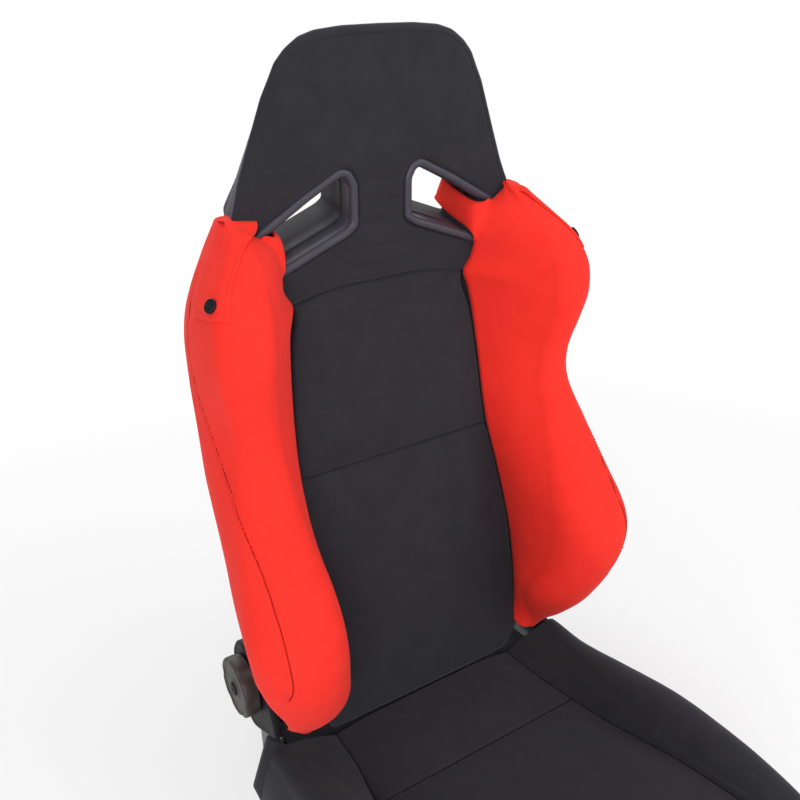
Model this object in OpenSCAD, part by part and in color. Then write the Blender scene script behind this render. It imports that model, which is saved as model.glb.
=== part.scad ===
// Reclining sport seat: steel frame, foam cushions, removable side covers,
// two belt openings and a backrest that turns on a dial-driven recliner.
// +Z is up, the seat faces -Y, and the occupant's right is -X.
// The origin is the centre of the floor bolt pattern, on the underside.

/* [Recliner] */
// Distance of the backrest hinge behind the bolt pattern's centre
hinge_y = 208; // [190:1:230]
// Height of the backrest hinge above the floor rails
hinge_z = 248; // [235:1:270]
// Radius of the pivot boss
boss_r = 16; // [12:0.5:20]
// Running clearance of the pivot and of the drive shaft, on the radius
pivot_gap = 0.05; // [0.02:0.01:0.1]
// Radius of the drive shaft
shaft_r = 5; // [4:0.5:7]
// Thickness of the recliner plates
plate_t = 4; // [3:0.5:5]
// Inner face of the backrest's recliner plates, from the middle
plate_x = 203; // [202:0.5:206]
// Gap between the two plates of one recliner
plate_gap = 2; // [1:0.5:3]
// Radius of the plates round the pivot
plate_r = 36; // [30:1:40]
// Depth of the recliner housings
housing_d = 22; // [18:1:26]
// Wall of the recliner housings
housing_wall = 2.5; // [2:0.5:4]
// Radius of the dial knobs
dial_r = 42; // [36:1:46]
// Thickness of the dial knobs
dial_t = 20; // [14:1:24]
// Depth of the finger lobes in the dial's rim
dial_lobe = 3; // [1:0.5:5]

/* [Base] */
// Spacing of the floor bolts across the seat
bolt_dx = 380; // [360:1:384]
// Spacing of the floor bolts along the seat
bolt_dy = 290; // [250:1:330]
// Radius of the tapped floor holes
bolt_hole_r = 3.4; // [2.5:0.1:4.5]
// Thickness of the side frames' sheet
frame_t = 3; // [2:0.5:4]
// Width of the side frames' bottom flange
flange_w = 38; // [34:1:46]
// Height of the side frames
frame_h = 88; // [70:1:90]
// Front end of the side frames
frame_front_y = -235; // [-260:1:-210]
// Rear end of the side frames
frame_rear_y = 240; // [225:1:255]
// Radius of the tubes that join the side frames
cross_r = 11; // [8:0.5:14]
// Height of the tubes that join the side frames
cross_z = 48; // [35:1:60]
// Thickness of the seat pan
pan_t = 2; // [1:0.5:4]
// Length of the pan holes
pan_hole = 52; // [30:1:60]

/* [Cushion] */
// Front end of the cushion
cushion_front_y = -330; // [-360:1:-300]
// Where the cross seam divides the cushion
cushion_seam_y = 20; // [0:1:40]
// Rear end of the cushion between the recliners
cushion_rear_y = 146; // [140:1:147]
// Full width of the cushion
cushion_w = 512; // [490:1:530]
// Rise of the crown of the cushion pads
cushion_crown = 7; // [2:0.5:10]

/* [Backrest] */
// Height of the cross seam in the back panel
mid_seam_z = 513; // [480:1:540]
// Height of the seam under the belt openings, in the middle
yoke_seam_z = 733; // [725:1:740]
// Height of the head's top edge
head_top_z = 1017; // [990:1:1040]
// Depth of the foam behind the back panel's surface
foam_d = 45; // [38:1:50]
// Gap between the backrest's tubes and the rear shell
shell_gap = 4.5; // [3:0.5:10]
// Rise of the crown of the back panels
back_crown = 7; // [2:0.5:10]
// Thickness of the side covers' cloth and its padding
cover_t = 2.5; // [1.5:0.5:4]
// Thickness of the rear shell
shell_t = 3; // [2:0.5:5]
// Radius of the backrest's frame tubes
back_tube_r = 11; // [9:0.5:12]

/* [Belt openings] */
// Width of the rim round each belt opening
rim_w = 11; // [8:0.5:14]
// How far the rim stands out of the pad
rim_proud = 5; // [2:0.5:8]
// Wall of the tunnel behind the rim
tunnel_wall = 3; // [2:0.5:4]
// Depth of the whole belt tunnel
tunnel_d = 62; // [56:1:68]

/* [Straps] */
// Thickness of the fastening straps
strap_t = 2; // [1:0.5:3]
// Radius of the snap fasteners
snap_r = 7; // [5:0.5:9]

/* [Hidden] */
$fn = 48;

clear = 0.3;
pad_gap = 0.9;

// Colours
steel = "#2b2c2e";
plastic = "#3a3940";
grey_plastic = "#5a5a60";
black_cloth = "#2c2c31";
red_cloth = "#e8382b";
zinc = "#b8bcc0";

// ---- Curves through tables of [place, value] ----
function span(k, t, i = 0) = i >= len(t) - 2 || k < t[i + 1][0] ? i : span(k, t, i + 1);
function slope(t, i) =
    let (a = max(i - 1, 0), b = min(i + 1, len(t) - 1))
    (t[b][1] - t[a][1]) / (t[b][0] - t[a][0]);
function curve(k, t) =
    let (
        i = span(k, t),
        h = t[i + 1][0] - t[i][0],
        u = min(max((k - t[i][0]) / h, 0), 1)
    )
    (2 * u * u * u - 3 * u * u + 1) * t[i][1]
    + (u * u * u - 2 * u * u + u) * h * slope(t, i)
    + (3 * u * u - 2 * u * u * u) * t[i + 1][1]
    + (u * u * u - u * u) * h * slope(t, i + 1);
function mix(a, b, t) = a + (b - a) * t;

// ---- Closed solids from grids of points ----
// The walls between the two skins of a slab, and of a loft's rings
function grid_faces(rows, cols, first, flip) = [
    for (i = [0:rows - 2], j = [0:cols - 2])
        let (
            a = first + i * cols + j,
            b = a + 1,
            c = a + cols,
            d = c + 1
        )
        each (flip ? [[a, c, b], [b, c, d]] : [[a, b, c], [b, d, c]])
];
function rim_faces(front, back, flip) = [
    for (i = [0:len(front) - 1])
        let (
            j = (i + 1) % len(front),
            a = front[i],
            b = front[j],
            c = back[i],
            d = back[j]
        )
        each (flip ? [[a, b, c], [b, d, c]] : [[a, c, b], [b, c, d]])
];
function border(rows, cols, first) = [
    for (j = [0:cols - 2]) first + j,
    for (i = [0:rows - 2]) first + i * cols + cols - 1,
    for (j = [cols - 1:-1:1]) first + (rows - 1) * cols + j,
    for (i = [rows - 1:-1:1]) first + i * cols
];

// A closed solid between two grids of points of the same size
module slab(front, back, flip = false) {
    rows = len(front);
    cols = len(front[0]);
    n = rows * cols;
    polyhedron(
        [for (row = front) each row, for (row = back) each row],
        concat(
            grid_faces(rows, cols, 0, flip),
            grid_faces(rows, cols, n, !flip),
            rim_faces(border(rows, cols, 0), border(rows, cols, n), flip)
        ),
        convexity = 10
    );
}

function middle(ring) = ring * [for (p = ring) 1] / len(ring);

// A closed solid through rings of points, with a fan at each end
module loft(rings) {
    rows = len(rings);
    cols = len(rings[0]);
    n = rows * cols;
    ends = [
        [for (k = [0:2]) middle([for (p = rings[0]) p[k]])],
        [for (k = [0:2]) middle([for (p = rings[rows - 1]) p[k]])]
    ];
    polyhedron(
        [for (ring = rings) each ring, each ends],
        [
            for (i = [0:rows - 2], j = [0:cols - 1])
                let (
                    a = i * cols + j,
                    b = i * cols + (j + 1) % cols,
                    c = a + cols,
                    d = b + cols
                )
                each [[a, c, b], [b, c, d]],
            for (j = [0:cols - 1]) [n, j, (j + 1) % cols],
            for (j = [0:cols - 1]) [n + 1, n - cols + (j + 1) % cols, n - cols + j]
        ],
        convexity = 10
    );
}

// ---- Lines of a side bolster's section ----
// A section is three circles, the seam, the nose and the rear edge, and their tangents
function tangent(a, ra, b, rb) =
    let (d = b - a)
    atan2(d[1], d[0]) - acos(min(max((ra - rb) / norm(d), -1), 1));
function arc(c, r, a0, a1, n) = [
    for (i = [0:n])
        let (a = mix(a0, a1, i / n))
        c + r * [cos(a), sin(a)]
];
function flank(p, q, bulge, n) =
    let (d = (q - p) / norm(q - p))
    [for (i = [1:n]) mix(p, q, i / (n + 1)) + bulge * sin(180 * i / (n + 1)) * [d[1], -d[0]]];
// The outer side runs straight from nose to rear, or bends in to the tuck where `tucked` is 1
function bolster_line(seam, nose, nose_r, rear, rear_r, full, inset, turn, tuck, tucked) =
    let (
        a0 = tangent(seam, 0, nose, nose_r),
        side = tangent(nose, nose_r, rear, rear_r),
        a1 = min(side, turn) - tucked * 100 * inset / nose_r,
        start = seam - inset * [cos(a0), sin(a0)],
        round_nose = arc(nose, nose_r - inset, a0, a1, 6),
        round_rear = arc(rear, rear_r - inset, mix(side, 0, tucked), 90, 3),
        straight = flank(round_nose[6], round_rear[0], full, 3),
        bend = tuck - [inset, inset],
        bent = [for (i = [0:2]) mix(bend, round_rear[0], i / 3)]
    )
    [
        start,
        each flank(start, round_nose[0], full, 2),
        each round_nose,
        each [for (i = [0:2]) mix(straight[i], bent[i], tucked)],
        each round_rear
    ];

// ---- Shape of the backrest, in heights above the floor ----
// Surface of the middle panel
panel_y = [[152, 179], [158, 164], [166, 151], [185, 152], [248, 166], [340, 184], [mid_seam_z, 220], [615, 237],
    [683, 248], [721, 254], [805, 256], [863, 254], [head_top_z, 249]];
// Half width between the side covers
panel_x = [[152, 144], [165, 151], [180, 165], [200, 171], [248, 172], [297, 169], [361, 166],
    [424, 158], [462, 152], [mid_seam_z, 143], [560, 139], [615, 135.5], [683, 128.5], [722, 118.5],
    [745, 127], [765, 130], [775, 134.5], [785, 139], [795, 143.5], [805, 149], [812, 157], [825, 172], [842, 180]];
// Nose of the side bolsters: half spread, lead in front of the panel, and radius
nose_x = [[168, 170], [182, 182], [205, 189], [214, 191], [224, 193], [234, 196], [274, 197], [300, 200], [336, 209],
    [367, 213.5], [410, 217], [462, 214.5], [498, 213.5], [535, 211], [580, 206], [622, 207], [665, 212.5],
    [704, 216], [734, 215], [755, 212], [775, 206], [800, 193], [812, 188], [825, 185], [842, 185]];
nose_lead = [[168, -8], [182, -3], [205, 11], [233, 30], [274, 55], [300, 69], [336, 88],
    [367, 99], [388, 104], [410, 105.5], [436, 99], [462, 89], [535, 61], [580, 49], [622, 52], [665, 65],
    [704, 79], [734, 80], [755, 73.5], [775, 62.5], [800, 43], [812, 31], [825, 17], [842, 2]];
nose_r = [[168, 8], [182, 11], [205, 14], [214, 17], [224, 21], [234, 28], [274, 45], [300, 51], [336, 54], [367, 56],
    [410, 56.5], [436, 54.5], [462, 50.5], [498, 44], [535, 38], [580, 32], [622, 30], [665, 32.5],
    [704, 34.5], [734, 34.5], [755, 33], [775, 29], [800, 20], [812, 15], [825, 10], [842, 5]];
// Outer rear edge of the side bolsters
rear_x = [[168, 186], [182, 192], [234, 200], [285, 201], [312, 203], [345, 222], [400, 230],
    [500, 242], [604, 243], [690, 241.5], [726, 236], [757, 225], [797, 206], [825, 191],
    [842, 188]];
rear_r = 14;
// Foam behind the panel's surface, thinner at the drive shaft
foam = [[150, 30], [290, 32], [350, foam_d], [1000, foam_d]];

// Past the recliners the outer side tucks in: how far round the nose turns, and where it goes
nose_turn = [[168, 60], [200, 40], [214, 20], [224, 0], [234, -24], [255, -28], [274, -35],
    [300, -32], [336, -12], [360, 90], [1000, 90]];
tucked = [[168, 0], [196, 0], [214, 1], [300, 1], [352, 0], [1000, 0]];
tuck_x = 202;
tuck_r = [[168, 58], [214, 58], [224, 66], [234, 76], [255, 86], [274, 94], [288, 94], [312, 72],
    [345, 60], [1000, 60]];
function tuck_point(z) =
    let (r = curve(z, tuck_r), dz = z - hinge_z)
    [tuck_x, hinge_y - sqrt(max(r * r - dz * dz, 0))];

function front_y(z) = curve(z, panel_y);
function half_w(z) = curve(z, panel_x);
function bolster_section(z, inset) =
    let (
        y = front_y(z),
        seam = [half_w(z), y],
        nose = [curve(z, nose_x), y - curve(z, nose_lead)],
        back = y + curve(z, foam),
        rear = [curve(z, rear_x) - rear_r, back - rear_r]
    )
    [
        for (p = bolster_line(seam, nose, curve(z, nose_r), rear, rear_r, 4, inset,
            lookup(z, nose_turn), tuck_point(z), lookup(z, tucked)))
            [p[0], p[1], z]
    ];
bolster_z = [168, 182, 196, 214, 224, 234, 255, 278, 303, 336, 370, 410, 460, 510, 555, 592, 625,
    660, 692, 718, 742, 766, 788, 804, 816, 829, 842];

// ---- Belt openings ----
slot_outline = [[31, 852], [40, 867], [54, 871], [148, 811], [127, 762],
    [50, 795], [33, 807]];
// Line through two corners, moved inwards, as [normal, distance]
function edge_line(p, q, d) =
    let (t = (q - p) / norm(q - p), n = [t[1], -t[0]])
    [n, n * p + d];
function meet(a, b) =
    let (k = a[0][0] * b[0][1] - a[0][1] * b[0][0])
    [(a[1] * b[0][1] - b[1] * a[0][1]) / k, (a[0][0] * b[1] - b[0][0] * a[1]) / k];
function inset_outline(pts, d) = [
    for (i = [0:len(pts) - 1])
        let (
            h = pts[(i + len(pts) - 1) % len(pts)],
            p = pts[i],
            q = pts[(i + 1) % len(pts)]
        )
        meet(edge_line(h, p, d), edge_line(p, q, d))
];
slot_top = [[0, 874], [31, 874], [54, 872], [148, 812], [158, 815], [172, 829], [180, 843],
    [200, 850]];
slot_low = [[0, 874], [30, 874], [30.6, 807], [33, 806], [50, 794.5], [127, 761.5],
    [200, 761.5]];
slot_y = front_y(815);

// ---- Head and neck outline ----
head_edge = [[0, head_top_z], [45, head_top_z - 1], [82, head_top_z - 3], [102, head_top_z - 9],
    [116, head_top_z - 20], [126, head_top_z - 33], [134, head_top_z - 49],
    [142, head_top_z - 66], [166, 891], [187, 832]];
yoke_edge = [[0, yoke_seam_z], [50, yoke_seam_z], [85, yoke_seam_z - 4], [120, yoke_seam_z - 12],
    [130, yoke_seam_z - 16]];
head_d = 66;
// How much narrower and lower the head's back is than its front
head_taper = 0.8;
head_back_drop = 22;

function both_sides(xs) = [for (i = [len(xs) - 1:-1:1]) -xs[i], each xs];
// Height of a crown with edges that roll in, 0 at the border and 1 inside
function crown(u, v, p = 6) = (1 - pow(abs(2 * u - 1), p)) * (1 - pow(abs(2 * v - 1), p));

// ---- Steel parts of the base ----
web_x = plate_x + plate_t + plate_gap;
rear_plate_face = web_x + plate_t;

module tapped_boss(y) {
    translate([bolt_dx / 2, y, frame_t])
        cylinder(r = 2.4 * bolt_hole_r, h = 3 * frame_t);
}

module side_frame() {
    color(steel)
        difference() {
            union() {
                translate([web_x - frame_t, frame_front_y, 0])
                    cube([frame_t, frame_rear_y - frame_front_y, frame_h]);
                translate([web_x - flange_w, frame_front_y, 0])
                    cube([flange_w - frame_t, frame_rear_y - frame_front_y, frame_t]);
                for (y = [-bolt_dy / 2, bolt_dy / 2])
                    tapped_boss(y);
            }
            for (y = [-bolt_dy / 2, bolt_dy / 2])
                translate([bolt_dx / 2, y, -1])
                    cylinder(r = bolt_hole_r, h = 5 * frame_t + 2);
            for (p = plate_bolt_pts)
                side_extrude(web_x - frame_t - 1, frame_t + 2)
                    translate(p)
                        circle(r = plate_bolt_r);
        }
}

cross_front_y = -190;
cross_rear_y = 175;
module cross_tube(y) {
    half = web_x - frame_t;
    color(steel)
        translate([-half, y, cross_z])
            rotate([0, 90, 0])
                difference() {
                    cylinder(r = cross_r, h = 2 * half);
                    translate([0, 0, -1])
                        cylinder(r = cross_r - 2, h = 2 * half + 2);
                }
}

pan_z = frame_h - 12;
pan_front_y = cushion_front_y + 40;
pan_rear_y = cushion_rear_y - 30;
module seat_pan() {
    half = web_x - frame_t;
    pitch = 72;
    color(steel)
        difference() {
            translate([-half, pan_front_y, pan_z])
                cube([2 * half, pan_rear_y - pan_front_y, pan_t]);
            for (x = [-2:2], y = [0:4])
                translate([x * pitch, pan_front_y + 58 + y * pitch, pan_z - 1])
                    cylinder(r = pan_hole / 2, h = pan_t + 2);
        }
}

// Plates of the recliner: outline in (y, z), raised along +X
module side_extrude(x, t) {
    translate([x, 0, 0])
        rotate([90, 0, 90])
            linear_extrude(height = t)
                children();
}

plate_bolt_r = 4;
plate_bolt_pts = [[175, 30], [175, 66], [222, 30], [222, 66]];
module recliner_plate() {
    color(steel)
        difference() {
            union() {
                side_extrude(web_x, plate_t) {
                    translate([hinge_y, hinge_z])
                        circle(r = plate_r);
                    polygon([[155, 12], [238, 12], [238, 90], [hinge_y + plate_r, hinge_z],
                        [hinge_y - plate_r, hinge_z], [155, 120]]);
                }
                side_extrude(web_x - plate_gap + clear, plate_gap - clear)
                    translate([hinge_y, hinge_z])
                        circle(r = plate_r - 4);
            }
            side_extrude(web_x - 10, 30)
                translate([hinge_y, hinge_z])
                    circle(r = boss_r + pivot_gap);
            for (p = plate_bolt_pts)
                side_extrude(web_x - 1, plate_t + 2)
                    translate(p)
                        circle(r = plate_bolt_r);
        }
}

module plate_bolt(p) {
    side_extrude(web_x - 6, plate_t + 6)
        translate(p)
            circle(r = plate_bolt_r - clear / 10);
    side_extrude(rear_plate_face, 5)
        translate(p)
            circle(r = 7, $fn = 6);
}

housing_outline = [[132, 213], [134, 232], [148, 262], [168, 286], [190, 300], [222, 300],
    [244, 290], [256, 268], [256, 225], [232, 184], [203, 174]];
// Its inner step stays inside the circle that the bolster's side sweeps
housing_step = 12;
housing_reach = 66;
hinge_yz = [hinge_y, hinge_z];
housing_foot = [
    for (p = housing_outline)
        hinge_yz + (p - hinge_yz) * min(1, housing_reach / norm(p - hinge_yz))
];
module recliner_housing() {
    outer_x = rear_plate_face + housing_step;
    outer_d = housing_d - housing_step;
    color(plastic)
        difference() {
            union() {
                side_extrude(rear_plate_face, housing_step)
                    polygon(housing_foot);
                side_extrude(outer_x, outer_d)
                    polygon(housing_outline);
            }
            side_extrude(rear_plate_face - 1, housing_step + 1 + housing_wall)
                polygon(inset_outline(housing_foot, housing_wall));
            side_extrude(outer_x + housing_wall, outer_d - 2 * housing_wall)
                polygon(inset_outline(housing_outline, housing_wall));
            side_extrude(rear_plate_face, housing_d + 1)
                translate(hinge_yz)
                    circle(r = shaft_r + 4);
        }
}

// ---- Steel parts of the backrest ----
// Middle line of the side tubes, which lie behind the spring wires
spring_r = 1.6;
spring_gap = 2;
tube_gap = spring_gap + 2 * spring_r + clear;
// Rise of the weld round a bend in a tube
weld = 0.5;
function tube_y(z) = front_y(z) + curve(z, foam) + back_tube_r + tube_gap;
tube_x = plate_x - back_tube_r - weld;
tube_path = [
    [tube_x, tube_y(285), 285], [tube_x, tube_y(400), 400], [tube_x, tube_y(560), 560],
    [182, tube_y(700), 700], [162, 288, 790], [136, 283, 852]];
hoop_path = [[136, 283, 852], [106, 283, 922], [80, 283, 944], [0, 283, 946]];

module rod(p, q, r) {
    d = q - p;
    translate(p)
        rotate([0, acos(d[2] / norm(d)), atan2(d[1], d[0])])
            cylinder(r = r, h = norm(d));
}
module bent_tube(path, r) {
    for (i = [0:len(path) - 2])
        rod(path[i], path[i + 1], r);
    for (i = [1:len(path) - 2])
        translate(path[i])
            sphere(r = r + weld);
}

module back_tube() {
    color(steel)
        bent_tube(tube_path, back_tube_r);
}

module back_top_tube() {
    color(steel)
        difference() {
            union() {
                bent_tube(hoop_path, back_tube_r);
                mirror([1, 0, 0])
                    bent_tube(hoop_path, back_tube_r);
            }
            for (side = [0, 1])
                mirror([side, 0, 0])
                    rod(tube_path[4], tube_path[5], back_tube_r + clear);
        }
}

lower_tube_z = 330;
module back_lower_tube() {
    half = tube_x;
    color(steel)
        difference() {
            translate([-half, tube_y(lower_tube_z), lower_tube_z])
                rotate([0, 90, 0])
                    cylinder(r = back_tube_r - 2, h = 2 * half);
            for (side = [0, 1])
                mirror([side, 0, 0])
                    bent_tube([tube_path[0], tube_path[1]], back_tube_r + clear);
        }
}

spring_z = [390, 450, 510, 570, 630, 690];
spring_reach = tube_x - 4;
module back_springs() {
    color(zinc)
        for (z = spring_z)
            translate([-spring_reach, front_y(z) + foam_d + spring_r + spring_gap, z])
                rotate([0, 90, 0])
                    cylinder(r = spring_r, h = 2 * spring_reach, $fn = 16);
}

module back_plate() {
    back_line = [for (z = [300, 350, 400, 425]) [tube_y(z) + back_tube_r - 2, z]];
    front_line = [for (z = [425, 400, 350, 300]) [tube_y(z) - back_tube_r + 2, z]];
    color(steel)
        difference() {
            union() {
                side_extrude(plate_x, plate_t) {
                    translate([hinge_y, hinge_z])
                        circle(r = plate_r);
                    polygon(concat([[hinge_y + plate_r, hinge_z]], back_line, front_line,
                        [[hinge_y - plate_r, hinge_z]]));
                }
                side_extrude(plate_x, 2 * plate_t + plate_gap)
                    translate([hinge_y, hinge_z])
                        circle(r = boss_r);
            }
            side_extrude(plate_x - 1, 2 * plate_t + plate_gap + 2)
                translate([hinge_y, hinge_z])
                    circle(r = shaft_r + pivot_gap);
        }
}

// ---- Foam and cloth of the backrest ----
rows_fine = [0, 0.04, 0.12, 0.28, 0.5, 0.72, 0.88, 0.96, 1];
// A back pad between two heights, which may change across the pad
// `floor_v` is where the roll starts: 0 rolls both ends, 0.5 only the far one
module back_pad(low, high, rise, edge, floor_v = 0) {
    front = [
        for (v = rows_fine)
            [
                for (u = rows_fine)
                    let (
                        rough = mix(low[0][1], high[0][1], v),
                        half = half_w(rough),
                        side = mix(curve(half, low), curve(half, high), v),
                        x = (2 * u - 1) * (min(half, half_w(side)) - pad_gap),
                        z = mix(curve(abs(x), low), curve(abs(x), high), v)
                    )
                    [x, front_y(z) + edge - (edge + rise) * crown(u, mix(floor_v, 1, v)), z]
            ]
    ];
    back = [for (row = front) [for (p = row) [p[0], front_y(p[2]) + curve(p[2], foam), p[2]]]];
    color(black_cloth)
        slab(front, back);
}

level_edge = [[0, mid_seam_z], [300, mid_seam_z]];
function lifted(table, d) = [for (row = table) [row[0], row[1] + d]];
bottom_edge = [[0, 156], [100, 157], [140, 162], [151, 168], [300, 168]];

module back_panel_lower() {
    back_pad(bottom_edge, lifted(level_edge, -clear), back_crown, 6, 0.3);
}
module back_panel_upper() {
    back_pad(lifted(level_edge, clear), lifted(yoke_edge, -clear), back_crown, 6);
}

neck_cols = both_sides([0, 16, 30, 30.6, 50, 75, 100, 200]);
neck_rows = [0, 0.08, 0.3, 0.6, 0.85, 1];
channel_pitch = 24;
channel_depth = 1.5;
// Sewn channels across the neck, between the belt openings
function channel(x, z) =
    abs(x) < 60 && z > yoke_seam_z + 20 ? channel_depth * pow(abs(cos(180 * z / channel_pitch)), 8) : 0;
module neck_pad() {
    front = [
        for (v = neck_rows)
            [
                for (col = neck_cols)
                    let (
                        reach = half_w(mix(yoke_seam_z - 12, 762, v)) - pad_gap,
                        x = max(min(col, reach), -reach),
                        low = curve(abs(x), yoke_edge) + clear,
                        high = lookup(abs(x), slot_low) - clear,
                        z = mix(low, high, v)
                    )
                    [x, front_y(z) + (v == 0 ? 5 : 0) + channel(x, z), z]
            ]
    ];
    back = [for (row = front) [for (p = row) [p[0], front_y(800) + tunnel_d, p[2]]]];
    color(black_cloth)
        slab(front, back);
}

head_cols = both_sides([0, 31, 54, 80, 98, 110, 121, 130, 137, 148, 158, 170, 179]);
head_rows = [0, 0.25, 0.55, 0.8, 0.92, 0.98, 1];
head_round = 16;
// Drop of the head's front face towards its outer border
function head_drop(gap) =
    let (s = min(gap / head_round, 1))
    head_round * (1 - sqrt(1 - (1 - s) * (1 - s)));
// The head's back is narrower, and its lower edge follows the belt openings there too
function head_back_x(x) = x * mix(1, head_taper, min(abs(x) / 60, 1));
function head_back_lift(x) = lookup(abs(head_back_x(x)), slot_top) - lookup(abs(x), slot_top);
module head_pad() {
    front = [
        for (v = head_rows)
            [
                for (x = head_cols)
                    let (
                        low = lookup(abs(x), slot_top) + clear,
                        high = curve(abs(x), head_edge),
                        z = mix(low, high, v),
                        steep = abs(x) > 121 ? 0.42 : 1
                    )
                    [x, front_y(z) + head_drop((high - z) * steep), z]
            ]
    ];
    back = [
        for (i = [0:len(head_rows) - 1])
            [
                for (p = front[i])
                    let (roll = (p[1] - front_y(p[2])) / 2)
                    [
                        head_back_x(p[0]),
                        front_y(p[2]) + head_d - roll,
                        p[2] + head_back_lift(p[0]) * (1 - head_rows[i])
                            - head_back_drop * pow(head_rows[i], 3)
                    ]
            ]
    ];
    color(black_cloth)
        slab(front, back);
}

module bolster_core() {
    rings = [
        for (z = bolster_z)
            let (line = bolster_section(z, cover_t + clear), last = line[len(line) - 1])
            [each line, [min(half_w(z) + clear, last[0] - 1), last[1], z]]
    ];
    color(black_cloth)
        loft(rings);
}

// The cover starts a little above the foam's lower end
cover_z = [190, each [for (z = bolster_z) if (z > 195) z]];
module side_cover() {
    outside = [for (z = cover_z) bolster_section(z, 0)];
    inside = [for (z = cover_z) bolster_section(z, cover_t)];
    color(red_cloth)
        slab(outside, inside, true);
}

module across_extrude(y, d) {
    translate([0, y + d, 0])
        rotate([90, 0, 0])
            linear_extrude(height = d)
                children();
}

module belt_bezel() {
    rim_d = rim_proud + 7;
    color(plastic) {
        difference() {
            across_extrude(slot_y - rim_proud, rim_d)
                polygon(slot_outline);
            across_extrude(slot_y - rim_proud - 1, rim_d + 2)
                polygon(inset_outline(slot_outline, rim_w));
        }
        difference() {
            across_extrude(slot_y - rim_proud + rim_d, tunnel_d - rim_d)
                polygon(inset_outline(slot_outline, rim_w - tunnel_wall));
            across_extrude(slot_y - rim_proud, tunnel_d + 2)
                polygon(inset_outline(slot_outline, rim_w));
        }
    }
}

shell_z = [172, 230, 290, 330, 355, 385, 400, 470, 560, 640, 700, 750];
shell_half = [[165, 172], [290, 174], [330, 190], [353, 212], [400, 214], [600, 217], [690, 215],
    [726, 208], [760, 200]];
// Depth of the shell's front edge, behind the tubes at the recliners
shell_edge = [[165, 60], [290, 62], [330, 73], [356, 73], [384, foam_d + pad_gap],
    [800, foam_d + pad_gap]];
shell_thin = [[165, 0], [640, 0], [700, 2], [750, 10]];
shell_round = 14;
// Depth of the rear shell's outer face, behind the panel's surface
back_d = foam_d + tube_gap + 2 * back_tube_r + shell_gap + shell_t;
function shell_line(z, inset) =
    let (
        half = curve(z, shell_half) - inset,
        edge = front_y(z) + lookup(z, shell_edge),
        deep = front_y(z) + back_d - curve(z, shell_thin) - inset,
        r = min(shell_round, deep - edge - 2) - inset / 2,
        side = [[half, edge], each arc([half - r, deep - r], r, 0, 90, 4), [half * 0.35, deep + 2]]
    )
    [
        for (p = side) [p[0], p[1], z],
        for (i = [len(side) - 1:-1:0]) [-side[i][0], side[i][1], z]
    ];
module back_shell() {
    color(black_cloth)
        slab([for (z = shell_z) shell_line(z, 0)], [for (z = shell_z) shell_line(z, shell_t)], true);
}

// Strap over the shoulder, each row its middle, the way it faces, half its width and how
// far its edges bend back
strap_path = [
    [[125.5, 262, 792.5], [-0.92, 0, 0.39], 12, 0], [[125.5, 308, 792.5], [-0.92, 0, 0.39], 12, 0],
    [[132, 321, 795], [-0.3, 0.9, 0.1], 14, 0], [[150, 324, 800], [0, 1, 0], 18, 0],
    [[166, 310, 816], [0.2, 0.9, 0.3], 22, 0], [[171, 297, 840], [0, 0.5, 0.85], 22, 1],
    [[176, 275, 848], [0, 0, 1], 21, 2], [[181, 254, 847], [0.1, -0.3, 0.9], 20, 4],
    [[195, 233, 828], [0.6, -0.6, 0.6], 20, 7], [[213, 218, 804], [0.75, -0.6, 0.4], 21, 8],
    [[236, 206, 779], [0.9, -0.2, 0.36], 22, 8], [[248, 200, 750], [0.95, -0.2, 0.2], 23, 6]];
function unit(v) = v / norm(v);
module strap() {
    n = len(strap_path);
    rows = [
        for (i = [0:n - 1])
            let (
                row = strap_path[i],
                along = unit(strap_path[min(i + 1, n - 1)][0] - strap_path[max(i - 1, 0)][0]),
                up = unit(row[1]),
                wide = unit(cross(along, up)) * row[2]
            )
            [for (u = [-1, -0.5, 0, 0.5, 1]) [row[0] + u * wide - u * u * row[3] * up, up]]
    ];
    color(red_cloth)
        slab(
            [for (row = rows) [for (p = row) p[0] + strap_t * p[1]]],
            [for (row = rows) [for (p = row) p[0]]]
        );
}

snap_at = strap_path[10];
module strap_snap() {
    translate(snap_at[0] + unit(snap_at[1]) * (strap_t + 0.1))
        rotate([0, acos(unit(snap_at[1])[2]), atan2(snap_at[1][1], snap_at[1][0])])
            cylinder(r1 = snap_r, r2 = snap_r - 2, h = 2.5);
}

// ---- Cushion ----
// Surface of the middle pads, their half width, and the crest of the side bolsters
pad_z = [[cushion_front_y, 205], [-290, 221], [-250, 222], [-150, 205], [-60, 180],
    [cushion_seam_y, 166], [90, 162], [cushion_rear_y, 158]];
pad_x = [[cushion_front_y, 178], [-250, 175], [-100, 168], [cushion_seam_y, 158], [90, 148],
    [cushion_rear_y, 145]];
crest_z = [[cushion_front_y, 210], [-300, 234], [-265, 242], [-180, 245], [-90, 238], [0, 215],
    [80, 193], [130, 187], [cushion_rear_y, 184], [176, 180]];
crest_x = [[cushion_front_y, 200], [-265, 206], [-90, 208], [80, 212], [cushion_rear_y, 220],
    [176, 224]];
crest_r = [[cushion_front_y, 20], [-265, 30], [-90, 34], [80, 28], [cushion_rear_y, 20],
    [176, 18]];
// Lower outer edge of the side bolsters
low_x = [[cushion_front_y, cushion_w / 2 - 34], [-280, cushion_w / 2 - 14], [40, cushion_w / 2 - 14],
    [cushion_rear_y, cushion_w / 2 - 20], [176, cushion_w / 2 - 26]];
pan_top = pan_z + pan_t;

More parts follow.
